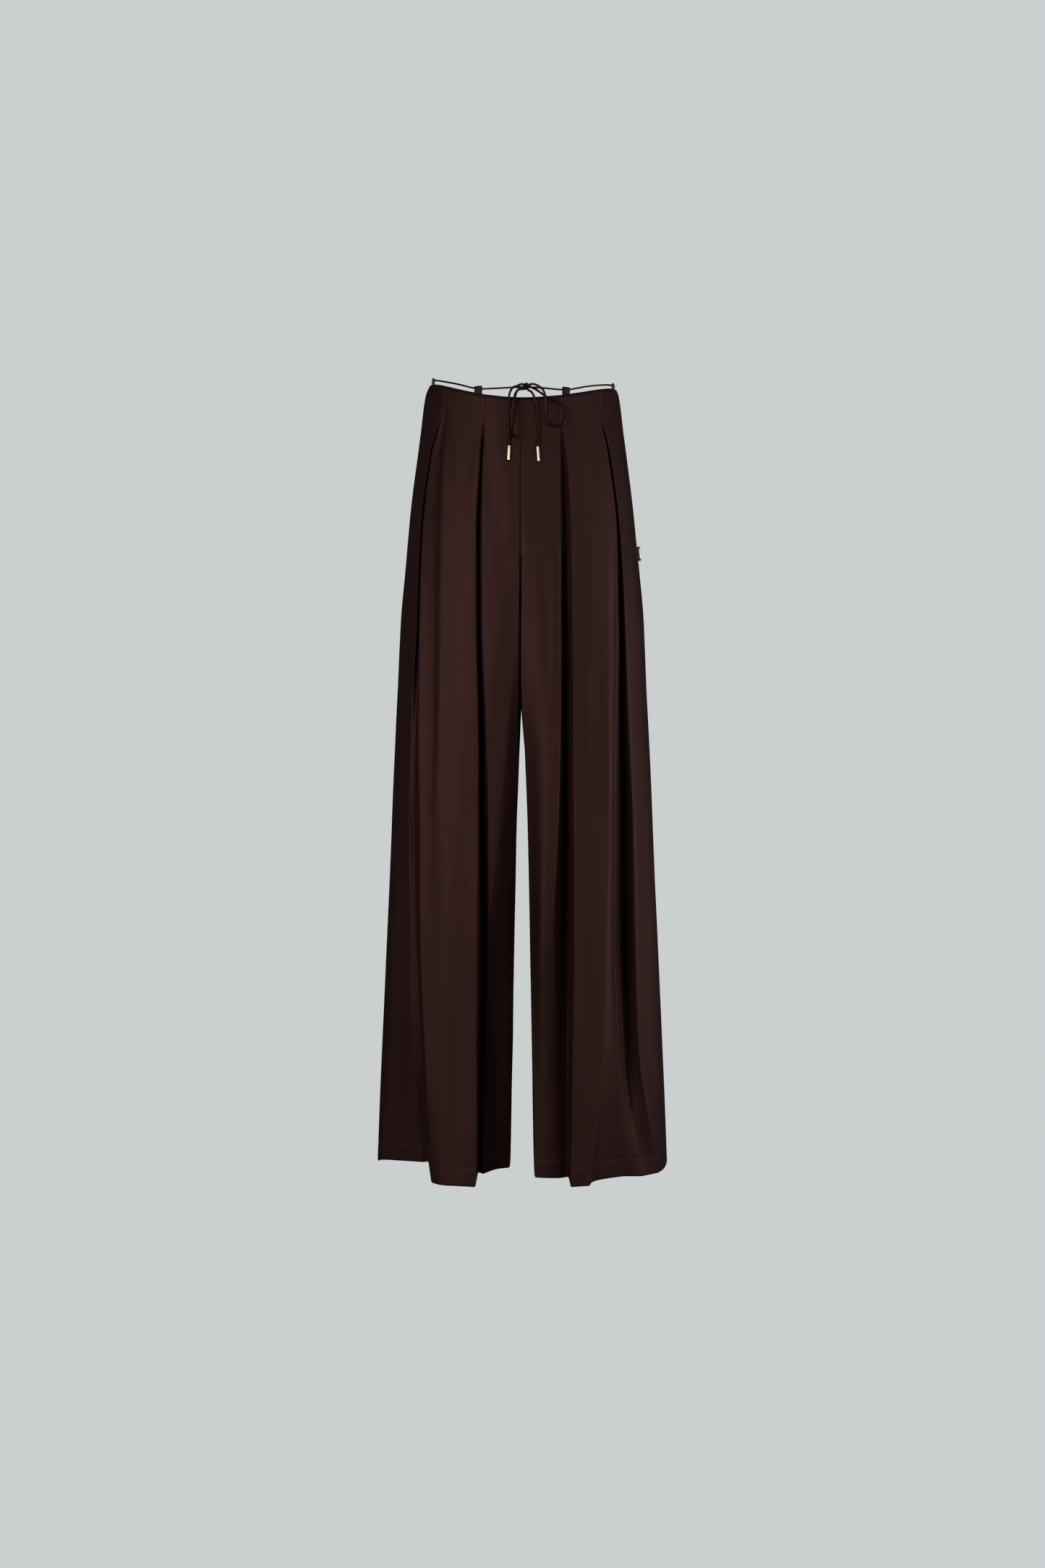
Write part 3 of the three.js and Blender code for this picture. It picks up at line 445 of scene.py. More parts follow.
RIGHT_FOLDS = columns("name turn out sunk", [
    ("centre", 0, [25, 24.5, 24.5, 24.5, 24.5, 25.5, 25.5, 25.5, 24.5, 30, 39],
     [0, 0, 0, 0, 0, 0, 3, 6, 9, 26, 40]),
    ("centre edge", 2.2, [47.8, 48.8, 50, 50.2, 50.2, 50, 49.6, 46.5, 42, 44.5, 50],
     [0, 0, 0, 0, 0, 0, 1, 4, 12, 32, 40]),
    ("inner valley", 2.2, [49, 50, 52.5, 53.8, 54.8, 55.3, 56.2, 58, 60.5, 61, 61],
     [0.7, 0.8, 6, 12, 20, 27, 34, 38, 42, 45, 46]),
    ("inner edge", 2.6, [50.2, 51.4, 56.5, 61, 65, 66.3, 66.8, 67.2, 67.5, 65.5, 62.5],
     [0, 0, 0, 1, 2, 2, 2, 1, -1, -1, -3]),
    ("mid panel", 0, [75, 75.5, 79.5, 84, 86.5, 88.5, 89, 90, 89.5, 87.5, 76],
     [0, 0, 0, 0, 0, 0, 0, 0, 0, 0, -1]),
    ("fold line", 3.0, [96.4, 97.5, 102.5, 106.3, 112.5, 114, 114, 113.8, 110.5, 106.5, 88],
     [0, 0, 0, 0, 0, 0, 0, 0, 0, 0, 0]),
    ("strip", 0, [98.6, 100, 105, 110.5, 119.5, 120.5, 119, 118, 116.5, 116.5, 93],
     [0.2, 0.3, 1, 1.5, 2, 2, 2, 2, 4, 7, 24]),
    ("outer edge", 2.2, [100.4, 102, 107.5, 114.5, 126.3, 126.6, 124.3, 122.7, 121.8, 127, 134.5],
     [0, 0, 0, 0, 0, 0, 0, 0, 2, 9, 35]),
    ("outer valley", 2.2, [101.6, 102.9, 109.2, 116.4, 129, 131.8, 132.8, 135, 137, 140.5, 157.5],
     [0.7, 0.8, 5, 10, 17, 26, 34, 42, 46, 37, 24]),
    ("side edge", 2.4, [102.8, 104.2, 110.9, 118.3, 131.6, 137.2, 141.8, 147.8, 150, 154, 182.5],
     [0, 0, 0, 1, 2, 4, 6, 8, 8, 9, 18]),
    ("side turn", 0, [121, 123, 130, 138, 152, 161, 167.5, 173.5, 180, 186, 193],
     [0, 0, 0, 0, 0, 2, 4, 6, 8, 12, 18]),
])
print("fold lines a front:", len(LEFT_FOLDS["name"]))

# %% The fold lines of the backs
BACK_LEVELS = [9, 60, 115, 200, 332, 464, 606, 887, 1065]
BACK_FOLDS = columns("name turn out sunk", [
    ("centre", 0, [30, 30, 31, 33, 36, 36, 36, 38, 40], [0, 0, 0, 0, 0, 1, 1, 0, 0]),
    ("dart edge", 5, [61.8, 61.8, 61.8, 60, 58, 56, 55, 56, 58], [0, 0, 0, 0, 0, 0, 0, 0, -1]),
    ("dart", 6, [63, 63, 63, 70, 72, 71, 70, 72, 74], [0.7, 0.7, 0.4, 1, 4, 7, 10, 15, 18]),
    ("dart far edge", 6, [64.2, 64.2, 64.2, 80, 88, 88, 88, 90, 92], [0, 0, 0, 0, 0, 0, 0, -1, -2]),
    ("outer panel", 0, [82, 84, 90, 102, 108, 108, 108, 110, 112], [0, 0, 0, 0, 0, 0, -1, -2, -3]),
    ("flute", 9, [96, 99, 107, 120, 128, 129, 130, 133, 138], [0, 0, 0, 1, 4, 7, 10, 15, 18]),
    ("flute far edge", 8, [108, 112, 122, 134, 145, 149, 152, 158, 164], [0, 0, 0, 0, 0, 0, 0, 0, 0]),
    ("side turn", 0, [120, 128, 137, 148, 160, 166, 171, 183, 191], [0, 0, 0, 0, 0, 0, 0, 0, 0]),
])
print("fold lines a back:", len(BACK_FOLDS["name"]))

# %% [markdown]
# ## A row across a panel
# Each row runs from the middle seam to the side seam. Above the crotch it starts on the rise seam,
# and below it on the inner leg seam, between the legs. The corners of the row are the fold lines, and
# each is rounded by a small Bezier arc, because pressed satin still turns over a millimetre or two.

# %% Rows of a panel
ARC_POINTS = 6
STRAIGHT_POINTS = 2
PLEAT_TURN_SHARE = 0.36
SOFT_TURN_SHARE = 0.46


def clamp01(value):
    return min(1.0, max(0.0, value))


def lerp(a, b, t):
    return a + (b - a) * t


def lift_at(level, out, is_left, waist_drop, hem_lift):
    """How much higher than the middle a place near the side lies."""
    side_edge = WAIST_SIDE_TILT if is_left else -WAIST_SIDE_TILT
    sideways = clamp01(out / WAIST_HALF_WIDTH)
    waist_fade = 1 - clamp01((level - waist_drop - TUCK_LENGTH) / WAIST_LIFT_FADE)
    hem_fade = clamp01((level - HEM_LIFT_DROP) / (HEM_DROP - HEM_LIFT_DROP))
    return (waist_drop + side_edge) * sideways * sideways * waist_fade + hem_lift * hem_fade


def form_depth(level, drop, out, is_front):
    """The smooth form's depth at a level and a distance out."""
    square = form_at["front_square" if is_front else "back_square"](level)
    reach = -form_at["front"](level) if is_front else form_at["back"](level)
    part = clamp01(out / half_width_at(drop))
    return reach * (1 - part ** square) ** (1 / square)


def row_corners(panel, level):
    """The corners of one row, with how softly each one turns."""
    sign = -1 if panel["is_front"] else 1
    is_left, is_front = panel["is_left"], panel["is_front"]
    waist_drop = FRONT_WAIST_DROP if is_front else BACK_WAIST_DROP
    inner = inner_at[("left_front" if is_left else "right_front") if is_front else "back"]

    def corner(out, depth, hem_lift=0):
        return (out, depth, -level + lift_at(level, out, is_left, waist_drop, hem_lift))

    above = level < CROTCH_DROP
    seam_out = inner_at["half_gap"](level) if level > CROTCH_DROP else HALF_GAP
    seam_depth = rise_at["front" if is_front else "back"](level) if above else sign * HALF_GAP
    splitting = clamp01((level - SPLIT_DROP) / SPLIT_FADE)
    turn_depth = inner(level) if splitting > 0 else form_depth(level, level, SEAM_FLAT, is_front)
    gap = max(HALF_GAP, inner_at["half_gap"](level))
    bulge = inner_at["bulge"](level) * (-1 if is_left else 1) if is_front else 0
    halfway_depth = seam_depth * 0.5 + turn_depth * 0.5
    if is_front and above:
        seam_depth += SEAM_DIP * clamp01((level - SEAM_SHAPE_TOP) / SEAM_DIP_FADE) * (1 - splitting)
    fade_in = clamp01((level - SEAM_SHAPE_TOP) / SHIFT_FADE_IN)
    fade_out = clamp01((SEAM_SHAPE_BOTTOM - level) / SHIFT_FADE_OUT)
    shift = (SEAM_SHIFT if is_left else -SEAM_SHIFT) * (fade_in * fade_out) if is_front else 0
    seam_edge = SEAM_EDGE_FRONT if is_front else SEAM_EDGE_BACK
    shoulder_out = gap + (GROOVE_WIDTH if is_front else BACK_SHOULDER_WIDTH)
    if is_front:
        shoulder = turn_depth - GROOVE_DEPTH * splitting
    else:
        shoulder = turn_depth * (1 + BACK_SHOULDER_SWELL * splitting)
    corners = [
        corner(seam_out + shift, seam_depth),
        corner(lerp(seam_edge, gap + 0.1 + bulge, splitting) + shift, halfway_depth),
        corner(lerp(SEAM_TURN, gap + 0.3, splitting) + shift, turn_depth),
        corner(lerp(SEAM_FLAT, shoulder_out, splitting) + shift, shoulder),
    ]
    turns = [0, 0, 0, 0]
    folds = panel["folds"]
    for i, name in enumerate(folds["name"]):
        out = panel["out_at"][i](level)
        lift = lift_at(level, out, is_left, waist_drop, 0)
        depth = form_depth(level, level - lift, out, is_front) - sign * panel["sunk_at"][i](level)
        outer = i > len(folds["name"]) - 4 and is_front and is_left
        corners.append(corner(out, depth, OUTER_FOLD_LIFT if outer else 0))
        turns.append(folds["turn"][i])
    seam_lift = lift_at(level, WAIST_HALF_WIDTH, is_left, waist_drop, SIDE_HEM_LIFT)
    half_width = half_width_at(level - seam_lift)
    side_depth = corners[-1][1] * SIDE_TURN_SHARE
    corners.append((half_width - SIDE_TURN_INSET, side_depth, -level + seam_lift))
    corners.append((half_width, sign * HALF_GAP, -level + seam_lift))
    turns += [0, 0]
    return np.array(corners), turns


def rounded_row(corners, turns):
    """The row with an arc at each inner corner and straight points between the arcs."""
    arcs = []
    for i in range(1, len(corners) - 1):
        to_before = corners[i - 1] - corners[i]
        to_after = corners[i + 1] - corners[i]
        before, after = np.linalg.norm(to_before), np.linalg.norm(to_after)
        share = PLEAT_TURN_SHARE if turns[i] > 0 else SOFT_TURN_SHARE
        turn = turns[i] or math.inf
        start = corners[i] + to_before / before * min(turn, before * share)
        end = corners[i] + to_after / after * min(turn, after * share)
        t = np.linspace(0, 1, ARC_POINTS)[:, None]
        arcs.append(start * (1 - t) ** 2 + corners[i] * 2 * t * (1 - t) + end * t ** 2)
    points = [corners[:1]]
    reached = corners[0]
    inside = np.linspace(0, 1, STRAIGHT_POINTS + 2)[1:-1, None]
    for arc in arcs + [corners[-1:]]:
        points.append(reached + (arc[0] - reached) * inside)
        points.append(arc)
        reached = arc[-1]
    return np.concatenate(points)


def fine_levels(marks, spacing):
    """Levels down a panel, no further apart than the spacing."""
    levels = [marks[0]]
    for low, high in zip(marks, marks[1:]):
        count = max(1, math.ceil((high - low) / spacing))
        levels += [low + (high - low) * (k + 1) / count for k in range(count)]
    return levels


ROW_SPACING = 7.0
LOWER_MARKS = [200, 235, 262, 290, 310, 320, 340, 437, 464, 606, 747, 887, 985,
               1035, 1037, 1039, 1041, 1043, 1061.5, 1063.5, 1064.6, 1065]
FRONT_MARKS = [34, 65, 90, 122] + LOWER_MARKS
BACK_MARKS = [9, 40, 60, 115] + LOWER_MARKS
print("rows a front panel:", len(fine_levels(FRONT_MARKS, ROW_SPACING)))

# %% [markdown]
# ## Creases
# Hung satin is never quite smooth between its folds. Each row of these tables is one soft trough
# (or, with a minus sign, a ridge) that runs between two places on the panel, with its own width and
# depth. A slow ripple with long upright waves is added everywhere, and it fades out at the seams.

# %% Crease tables and the ripple
CREASES = {
    "front_left": columns("out level to_out to_level width depth", [
        (50, 66, 40, 190, 7, 1.6), (51, 66, 66, 170, 6, -1.2), (102, 66, 92, 200, 8, 1.4),
        (30, 120, 22, 300, 9, 0.8), (75, 90, 88, 330, 11, 1.4), (96, 260, 98, 520, 10, 1.5),
        (22, 360, 36, 640, 9, 1.8), (74, 480, 70, 900, 12, 1.4), (101, 560, 97, 1000, 9, -1.3),
        (160, 240, 158, 480, 9, 1.6), (160, 520, 172, 1000, 12, 2.2), (38, 720, 42, 1040, 10, 2.0),
        (86, 820, 90, 1060, 10, 1.6), (150, 130, 148, 260, 9, -1.0), (12, 250, 34, 262, 8, 0.7),
        (70, 700, 66, 1050, 8, -1.0),
    ]),
    "front_right": columns("out level to_out to_level width depth", [
        (50, 66, 38, 180, 7, 1.5), (51, 66, 68, 180, 6, -1.1), (101, 66, 90, 190, 8, 1.2),
        (32, 240, 33, 420, 6, 1.5), (18, 130, 26, 260, 9, 0.8), (78, 110, 76, 420, 11, 1.2),
        (98, 300, 97, 620, 10, 1.4), (28, 620, 27, 900, 10, -1.6), (82, 600, 80, 960, 9, 1.3),
        (160, 420, 172, 800, 9, 1.5), (134, 760, 136, 1010, 8, -1.4), (150, 880, 158, 1060, 11, 1.8),
        (112, 900, 116, 1060, 9, 1.5), (176, 700, 184, 1050, 9, -1.3), (14, 255, 38, 268, 8, 0.7),
        (120, 150, 116, 300, 8, -0.9),
    ]),
    "back_left": columns("out level to_out to_level width depth", [
        (62, 60, 50, 210, 8, 1.2), (24, 250, 60, 330, 9, 1.6), (14, 300, 70, 352, 10, 1.4),
        (100, 120, 108, 420, 12, 1.4), (40, 420, 34, 800, 12, 1.6), (104, 500, 100, 980, 12, -1.6),
        (150, 300, 160, 700, 11, 1.6), (30, 760, 36, 1050, 11, -1.4), (168, 700, 176, 1050, 12, 1.8),
    ]),
    "back_right": columns("out level to_out to_level width depth", [
        (64, 62, 52, 190, 8, 1.1), (20, 262, 64, 318, 9, 1.7), (16, 306, 58, 372, 10, 1.3),
        (96, 140, 106, 380, 12, 1.5), (44, 380, 38, 760, 12, 1.5), (106, 460, 98, 1020, 12, -1.7),
        (152, 260, 158, 760, 11, 1.5), (28, 800, 40, 1050, 11, -1.5), (170, 640, 180, 1050, 12, 1.9),
    ]),
}


def crease_depth(name, out, level):
    """How far the cloth is pushed in at each place, from all the creases of a panel."""
    depth = np.zeros_like(out)
    table = CREASES[name]
    for i in range(len(table["out"])):
        a = np.array([table["out"][i], table["level"][i]])
        b = np.array([table["to_out"][i], table["to_level"][i]])
        along = b - a
        t = ((out - a[0]) * along[0] + (level - a[1]) * along[1]) / along.dot(along)
        inside = np.clip(t, 0, 1)
        away = np.hypot(out - a[0] - along[0] * inside, level - a[1] - along[1] * inside)
        fade = np.sin(np.pi * np.clip(t * 0.92 + 0.04, 0, 1)) ** 0.6
        depth += table["depth"][i] * fade * np.exp(-(away / table["width"][i]) ** 2)
    return depth


def ripple(out, level, phase):
    """A slow, uneven ripple with long upright waves, in mm."""
    sway = 1.6 * np.sin(level / 150 + phase) + 0.7 * np.sin(level / 61 + 2 * phase)
    wide = np.sin(out / 11 + sway + phase) * (0.6 + 0.4 * np.sin(level / 190 + 3 * phase))
    fine = np.sin(out / 5.2 - sway * 1.3 + level / 90) * (0.5 + 0.5 * np.sin(level / 83 + phase))
    across = np.sin(level / 23 + out / 31 + phase) * np.sin(level / 140 + out / 17)
    return 0.38 * wide + 0.14 * fine + 0.12 * across


print("creases placed:", {name: len(table["out"]) for name, table in CREASES.items()})

# %% [markdown]
# ## From rows to a thin cloth piece
# The rows make a grid of points. The grid is pushed in along its normals by the creases, and a
# second grid a wall's thickness inside it is the wrong side. At a seam the two grids part by the
# depth of the turning, so the pieces meet in a real narrow seam line, and the hem is twice as thick.

# %% Cloth pieces
def grid_normals(grid, flip):
    """Unit normals of a grid of points, pointing out of the cloth."""
    down = np.gradient(grid, axis=0)
    across = np.gradient(grid, axis=1)
    normals = np.cross(down, across)
    normals /= np.maximum(np.linalg.norm(normals, axis=2, keepdims=True), 1e-9)
    return -normals if flip else normals


def seam_inward(panel, outer, levels):
    """The way in at the middle seam, within the seam's plane, for each row."""
    side = -1 if panel["is_left"] else 1
    along = np.gradient(outer[:, 0, :], axis=0)
    along[:, 0] = 0
    along /= np.maximum(np.linalg.norm(along, axis=1, keepdims=True), 1e-9)
    inward = np.zeros_like(along)
    sign = 1 if panel["is_front"] else -1
    for i, level in enumerate(levels):
        if level > CROTCH_DROP:
            inward[i] = (side, 0, 0)
        elif level == CROTCH_DROP:
            inward[i] = (0, 0, 1)
        elif i == 0:
            inward[i] = (0, sign, 0)
        else:
            inward[i] = (0, -along[i][2] * sign, along[i][1] * sign)
    return inward


PANELS = columns("name is_left is_front phase", [
    ("front_left", True, True, 0.3), ("front_right", False, True, 1.9),
    ("back_left", True, False, 3.1), ("back_right", False, False, 4.4),
])


def panel_grids(name, is_left, is_front, phase):
    """The outer and inner grids of one panel, in mm, and its outer normals."""
    folds = (LEFT_FOLDS if is_left else RIGHT_FOLDS) if is_front else BACK_FOLDS
    marks = FOLD_LEVELS if is_front else BACK_LEVELS
    panel = {"is_left": is_left, "is_front": is_front, "folds": folds,
             "out_at": [curve(marks, values) for values in folds["out"]],
             "sunk_at": [curve(marks, values) for values in folds["sunk"]]}
    levels = fine_levels(FRONT_MARKS if is_front else BACK_MARKS, ROW_SPACING)
    outer = np.array([rounded_row(*row_corners(panel, level)) for level in levels])
    out, level = outer[:, :, 0].copy(), np.array(levels)[:, None] + 0 * outer[:, :, 0]
    if is_left:
        outer[:, :, 0] *= -1
    flip = is_front == is_left
    normals = grid_normals(outer, flip)

    # The creases, the ripple and the groove of the hem's stitches push the face in.
    column = np.arange(outer.shape[1]) / SEAM_FADE_COLUMNS
    seam_fade = np.clip(column, 0, 1) * np.clip(column[::-1], 0, 1)
    below_waist = (np.array(levels) - levels[0]) / WAIST_CALM_LENGTH
    waist_fade = np.clip(below_waist, WAIST_CALM_LEAST, 1)[:, None]
    push = (crease_depth(name, out, level) + ripple(out, level, phase)) * seam_fade[None, :] * waist_fade
    from_stitches = level - (HEM_DROP - HEM_DEPTH + 1)
    hem_groove = HEM_STITCH_GROOVE * np.exp(-(from_stitches / HEM_GROOVE_WIDTH) ** 2)
    outer = outer - normals * (push + hem_groove)[:, :, None]

    # The hem's edge turns in, and the wrong side lies a wall's thickness inside the face.
    edge_turn = np.interp(levels, [HEM_DROP - 3, HEM_DROP - 1, HEM_DROP], [0, 0.15, 0.7])
    normals = grid_normals(outer, flip)
    outer = outer - normals * edge_turn[:, None, None]
    level_normals = normals.copy()
    level_normals[[0, -1], :, 2] = 0
    level_normals /= np.maximum(np.linalg.norm(level_normals, axis=2, keepdims=True), 1e-9)
    hem_top = HEM_DROP - HEM_DEPTH
    wall = np.interp(levels, [0, hem_top - 1, hem_top + 1, HEM_DROP - 2, HEM_DROP],
                     [WALL, WALL, HEM_WALL, HEM_WALL, HEM_WALL * HEM_EDGE_SHARE])
    wall[0] = WALL * WAIST_EDGE_SHARE
    inner = outer - level_normals * wall[:, None, None]

    # At a seam the turning folds in and the face dips, so the seam shows as a fine line.
    side = np.array([1.0 if is_left else -1.0, 0, 0])
    inward = seam_inward(panel, outer, levels)
    inner[:, 0, :] = outer[:, 0, :] + inward * SEAM_TURNING
    inner[:, 0, 0] += SEAM_LEAN
    inner[:, -1, :] = outer[:, -1, :] + side * SEAM_TURNING
    inner[:, -1, 1] += SEAM_LEAN
    outer[:, 0, :] += inward * SEAM_DENT
    outer[:, -1, :] += side * SEAM_DENT
    return levels, outer, inner, normals


def mesh_piece(name, verts, faces, material):
    """A smooth mesh object from points in mm."""
    mesh = bpy.data.meshes.new(name)
    mesh.from_pydata([tuple(float(c) * MM for c in v) for v in verts], [], faces)
    mesh.materials.append(material)
    mesh.polygons.foreach_set("use_smooth", [True] * len(faces))
    mesh.update()
    piece = bpy.data.objects.new(name, mesh)
    bpy.context.scene.collection.objects.link(piece)
    return piece


def cloth_mesh(name, outer, inner, flip):
    """A closed piece of cloth from its two grids: face, wrong side and the rim between them."""
    rows, cols = outer.shape[:2]
    number = np.arange(rows * cols).reshape(rows, cols)
    back = number + rows * cols

    def quads(*corners):
        return np.stack(corners, axis=-1).reshape(-1, 4)

    faces = quads(number[:-1, :-1], number[1:, :-1], number[1:, 1:], number[:-1, 1:])
    wrong = quads(back[:-1, :-1], back[:-1, 1:], back[1:, 1:], back[1:, :-1])
    every = np.concatenate([
        faces, wrong,
        quads(number[0, :-1], number[0, 1:], back[0, 1:], back[0, :-1]),
        quads(number[-1, 1:], number[-1, :-1], back[-1, :-1], back[-1, 1:]),
        quads(number[1:, 0], number[:-1, 0], back[:-1, 0], back[1:, 0]),
        quads(number[:-1, -1], number[1:, -1], back[1:, -1], back[:-1, -1]),
    ])
    if flip:
        every = every[:, ::-1]
    points = np.concatenate([outer.reshape(-1, 3), inner.reshape(-1, 3)])
    piece = mesh_piece(name, points, every.tolist(), satin_face)
    piece.data.materials.append(satin_reverse)
    place = np.arange(len(every))
    is_wrong = (place >= len(faces)) & (place < len(faces) + len(wrong))
    piece.data.polygons.foreach_set("material_index", is_wrong.astype(np.int32))
    piece.data.polygons.foreach_set("use_smooth", place < len(faces) + len(wrong))
    piece.data.update()
    return piece


panels = {}
for name, is_left, is_front, phase in zip(*PANELS.values()):
    levels, outer, inner, normals = panel_grids(name, is_left, is_front, phase)
    piece = cloth_mesh(name + "_cloth", outer, inner, is_front == is_left)
    widths = np.linalg.norm(np.diff(outer, axis=1), axis=2).sum(axis=1)
    lengths = np.linalg.norm(np.diff(outer, axis=0), axis=2).sum(axis=0)
    panels[name] = {"piece": piece, "levels": levels, "outer": outer, "normals": normals,
                    "flat_width": widths.max(), "flat_length": lengths.max(),
                    "flat_area": float(np.mean(widths) * np.median(lengths))}
    state_piece(piece, name)
    print(name, "quads:", len(piece.data.polygons), "width at the waist and hem in mm:",
          round(widths[0]), round(widths[-1]), "length:", round(lengths.max()))

# %% [markdown]
# ## Sewing that shows
# The tucks and darts are held by short upright rows of lock stitches, and the hem is turned up and
# stitched once round. A stitch is 3 mm long with its ends sunk where the needle passed. The thread
# is drawn 0.5 mm thick, about twice the real one, so that it still shows at this size.

# %% Stitches
STITCH_LENGTH = 3.0
STITCH_GAP = 0.7
THREAD_DIAMETER = 0.5
THREAD_SIDES = 6
STITCH_RINGS = [(0, -0.25, 0.5), (0.12, 0.6, 0.9), (0.5, 0.85, 1.0), (0.88, 0.6, 0.9), (1, -0.25, 0.5)]
HEM_STITCH_DROP = 1041


def surface_at(panel, level, out):
    """The place on a panel's face at a level and a distance out, and the way out of it."""
    row = np.interp(level, panel["levels"], np.arange(len(panel["levels"])))
    low = min(int(row), len(panel["levels"]) - 2)
    places = []
    for i in (low, low + 1):
        line, normals = panel["outer"][i], panel["normals"][i]
        across = np.abs(line[:, 0])
        column = int(np.argmax(across >= out))
        before, after = across[column - 1], across[column]
        t = 0.0 if after == before else (out - before) / (after - before)
        places.append((line[column - 1] * (1 - t) + line[column] * t,
                       normals[column - 1] * (1 - t) + normals[column] * t))
    part = row - low
    place = places[0][0] * (1 - part) + places[1][0] * part
    normal = places[0][1] * (1 - part) + places[1][1] * part
    return place, normal / np.linalg.norm(normal)


def ring_faces(rings, around, flip=False, wrap=False, caps=2):
    """Quads between rings of points, with a cap on the first ring and one on the last."""
    faces = []
    for i in range(rings if wrap else rings - 1):
        first, second = i * around, (i + 1) % rings * around
        for k in range(around):
            n = (k + 1) % around
            if flip:
                faces.append((first + k, second + k, second + n, first + n))
            else:
                faces.append((first + k, first + n, second + n, second + k))
    ends = [tuple(range(around - 1, -1, -1)), tuple(range((rings - 1) * around, rings * around))]
    return faces + [end[::-1] if flip else end for end in ends[:caps]]


def stitch_shape(start, end, normal):
    """One stitch: a short thread that dips into the cloth at both ends."""
    along = end - start
    across = np.cross(along, normal)
    across /= np.linalg.norm(across)
    radius = THREAD_DIAMETER / 2
    points = []
    for t, height, size in STITCH_RINGS:
        centre = start + along * t + normal * radius * height
        for k in range(THREAD_SIDES):
            angle = k / THREAD_SIDES * math.tau
            way = across * math.cos(angle) + normal * math.sin(angle)
            points.append(centre + way * radius * size)
    return points, ring_faces(len(STITCH_RINGS), THREAD_SIDES)


def stitch_row(places, normals):
    """Stitches along a line of places on the cloth."""
    steps = np.linalg.norm(np.diff(places, axis=0), axis=1)
    reached = np.concatenate([[0], np.cumsum(steps)])

    def at(along, values):
        return np.array([np.interp(along, reached, values[:, k]) for k in range(3)])

    verts, faces = [], []
    start = STITCH_GAP
    while start + STITCH_LENGTH < reached[-1]:
        normal = at(start + STITCH_LENGTH / 2, normals)
        points, quads = stitch_shape(at(start, places), at(start + STITCH_LENGTH, places),
                                     normal / np.linalg.norm(normal))
        faces += [tuple(v + len(verts) for v in face) for face in quads]
        verts += points
        start += STITCH_LENGTH + STITCH_GAP
    return verts, faces


TUCK_STITCHES = columns("panel out top bottom", [
    ("front_left", 51.4, 36, 66), ("front_left", 104.4, 36, 66),
    ("front_right", 51.8, 36, 66), ("front_right", 105, 36, 66),
    ("back_left", 65.4, 11, 112), ("back_right", 65.4, 11, 112),
])
stitches = {}
for name, panel in panels.items():
    verts, faces = [], []
    row = int(np.argmin(np.abs(np.array(panel["levels"]) - HEM_STITCH_DROP)))
    lines = [(panel["outer"][row][3:-3], panel["normals"][row][3:-3])]
    for of_panel, out, top, bottom in zip(*TUCK_STITCHES.values()):
        if of_panel == name:
            found = [surface_at(panel, level, out) for level in np.arange(top, bottom, 1.5)]
            lines.append((np.array([f[0] for f in found]), np.array([f[1] for f in found])))
    for places, normals in lines:
        some, quads = stitch_row(places, normals)
        faces += [tuple(v + len(verts) for v in face) for face in quads]
        verts += some
    stitches[name] = mesh_piece(name + "_stitches", verts, faces, thread)
    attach(stitches[name], "root")
print("stitches:", {name: len(piece.data.polygons) // 26 for name, piece in stitches.items()})

# %% [markdown]
# ## Belt loops and the cord through them
# Each of the six loops is a strip of the satin, folded in two and pressed, and caught inside the
# waist edge, so that the cord shows between them above the edge. The two layers lie together and
# open round the cord. A strip is made by carrying a flat rounded section round that outline.

# %% Belt loops
LOOP_WIDTH = 10
LOOP_STRIP = 0.9
LOOP_ABOVE_EDGE = 11.7
LOOP_BELOW_EDGE = 8.9
LOOP_HALF_DEPTH = 1.5
LOOP_OPENING = 0.9
LOOP_END = 1.8
LOOP_STEPS = 24
CORD_INSET = 5.75
CORD_ABOVE = 7.5
LOOPS = columns("name degrees is_left is_front", [
    ("belt_loop_front_left", 26.2, True, True), ("belt_loop_front_right", 26.2, False, True),
    ("belt_loop_side_left", 86.5, True, True), ("belt_loop_side_right", 86.5, False, True),
    ("belt_loop_back_left", 21.5, True, False), ("belt_loop_back_right", 21.5, False, False),
])


def waist_place(degrees, is_left, is_front):
    """The outer edge of the waist at an angle round from the middle, and the level way out there."""
    angle = math.radians(degrees)
    waist_drop = FRONT_WAIST_DROP if is_front else BACK_WAIST_DROP
    reach = -form_at["front"](waist_drop) if is_front else form_at["back"](waist_drop)
    side_edge = WAIST_SIDE_TILT if is_left else -WAIST_SIDE_TILT
    drop = waist_drop - (waist_drop + side_edge) * math.sin(angle) ** 2
    half_width = half_width_at(drop)
    across = (-1 if is_left else 1) * math.sin(angle)
    edge = Vector((half_width * across, reach * math.cos(angle), -drop))
    return edge, Vector((across / half_width, math.cos(angle) / reach, 0)).normalized()


def loop_outline():
    """A pressed loop: two layers that lie together, open round the cord, with a rounded top."""
    side = []
    for k in range(LOOP_STEPS + 1):
        share = 1 - math.cos(k / LOOP_STEPS * math.pi)
        z = -LOOP_BELOW_EDGE + (LOOP_ABOVE_EDGE + LOOP_BELOW_EDGE) * share / 2
        half = LOOP_HALF_DEPTH + LOOP_OPENING * math.exp(-((z - CORD_ABOVE) / 3.4) ** 2)
        for end in (z + LOOP_BELOW_EDGE, LOOP_ABOVE_EDGE - z):
            half *= math.sqrt(max(0.002, 1 - (1 - clamp01(end / LOOP_END)) ** 2))
        side.append((half, z))
    points = side + [(-half, z) for half, z in reversed(side[1:-1])]
    outline = []
    for i, (x, z) in enumerate(points):
        before, after = points[i - 1], points[(i + 1) % len(points)]
        way = Vector((after[1] - before[1], before[0] - after[0])).normalized()
        outline.append(((x, z), way))
    return outline


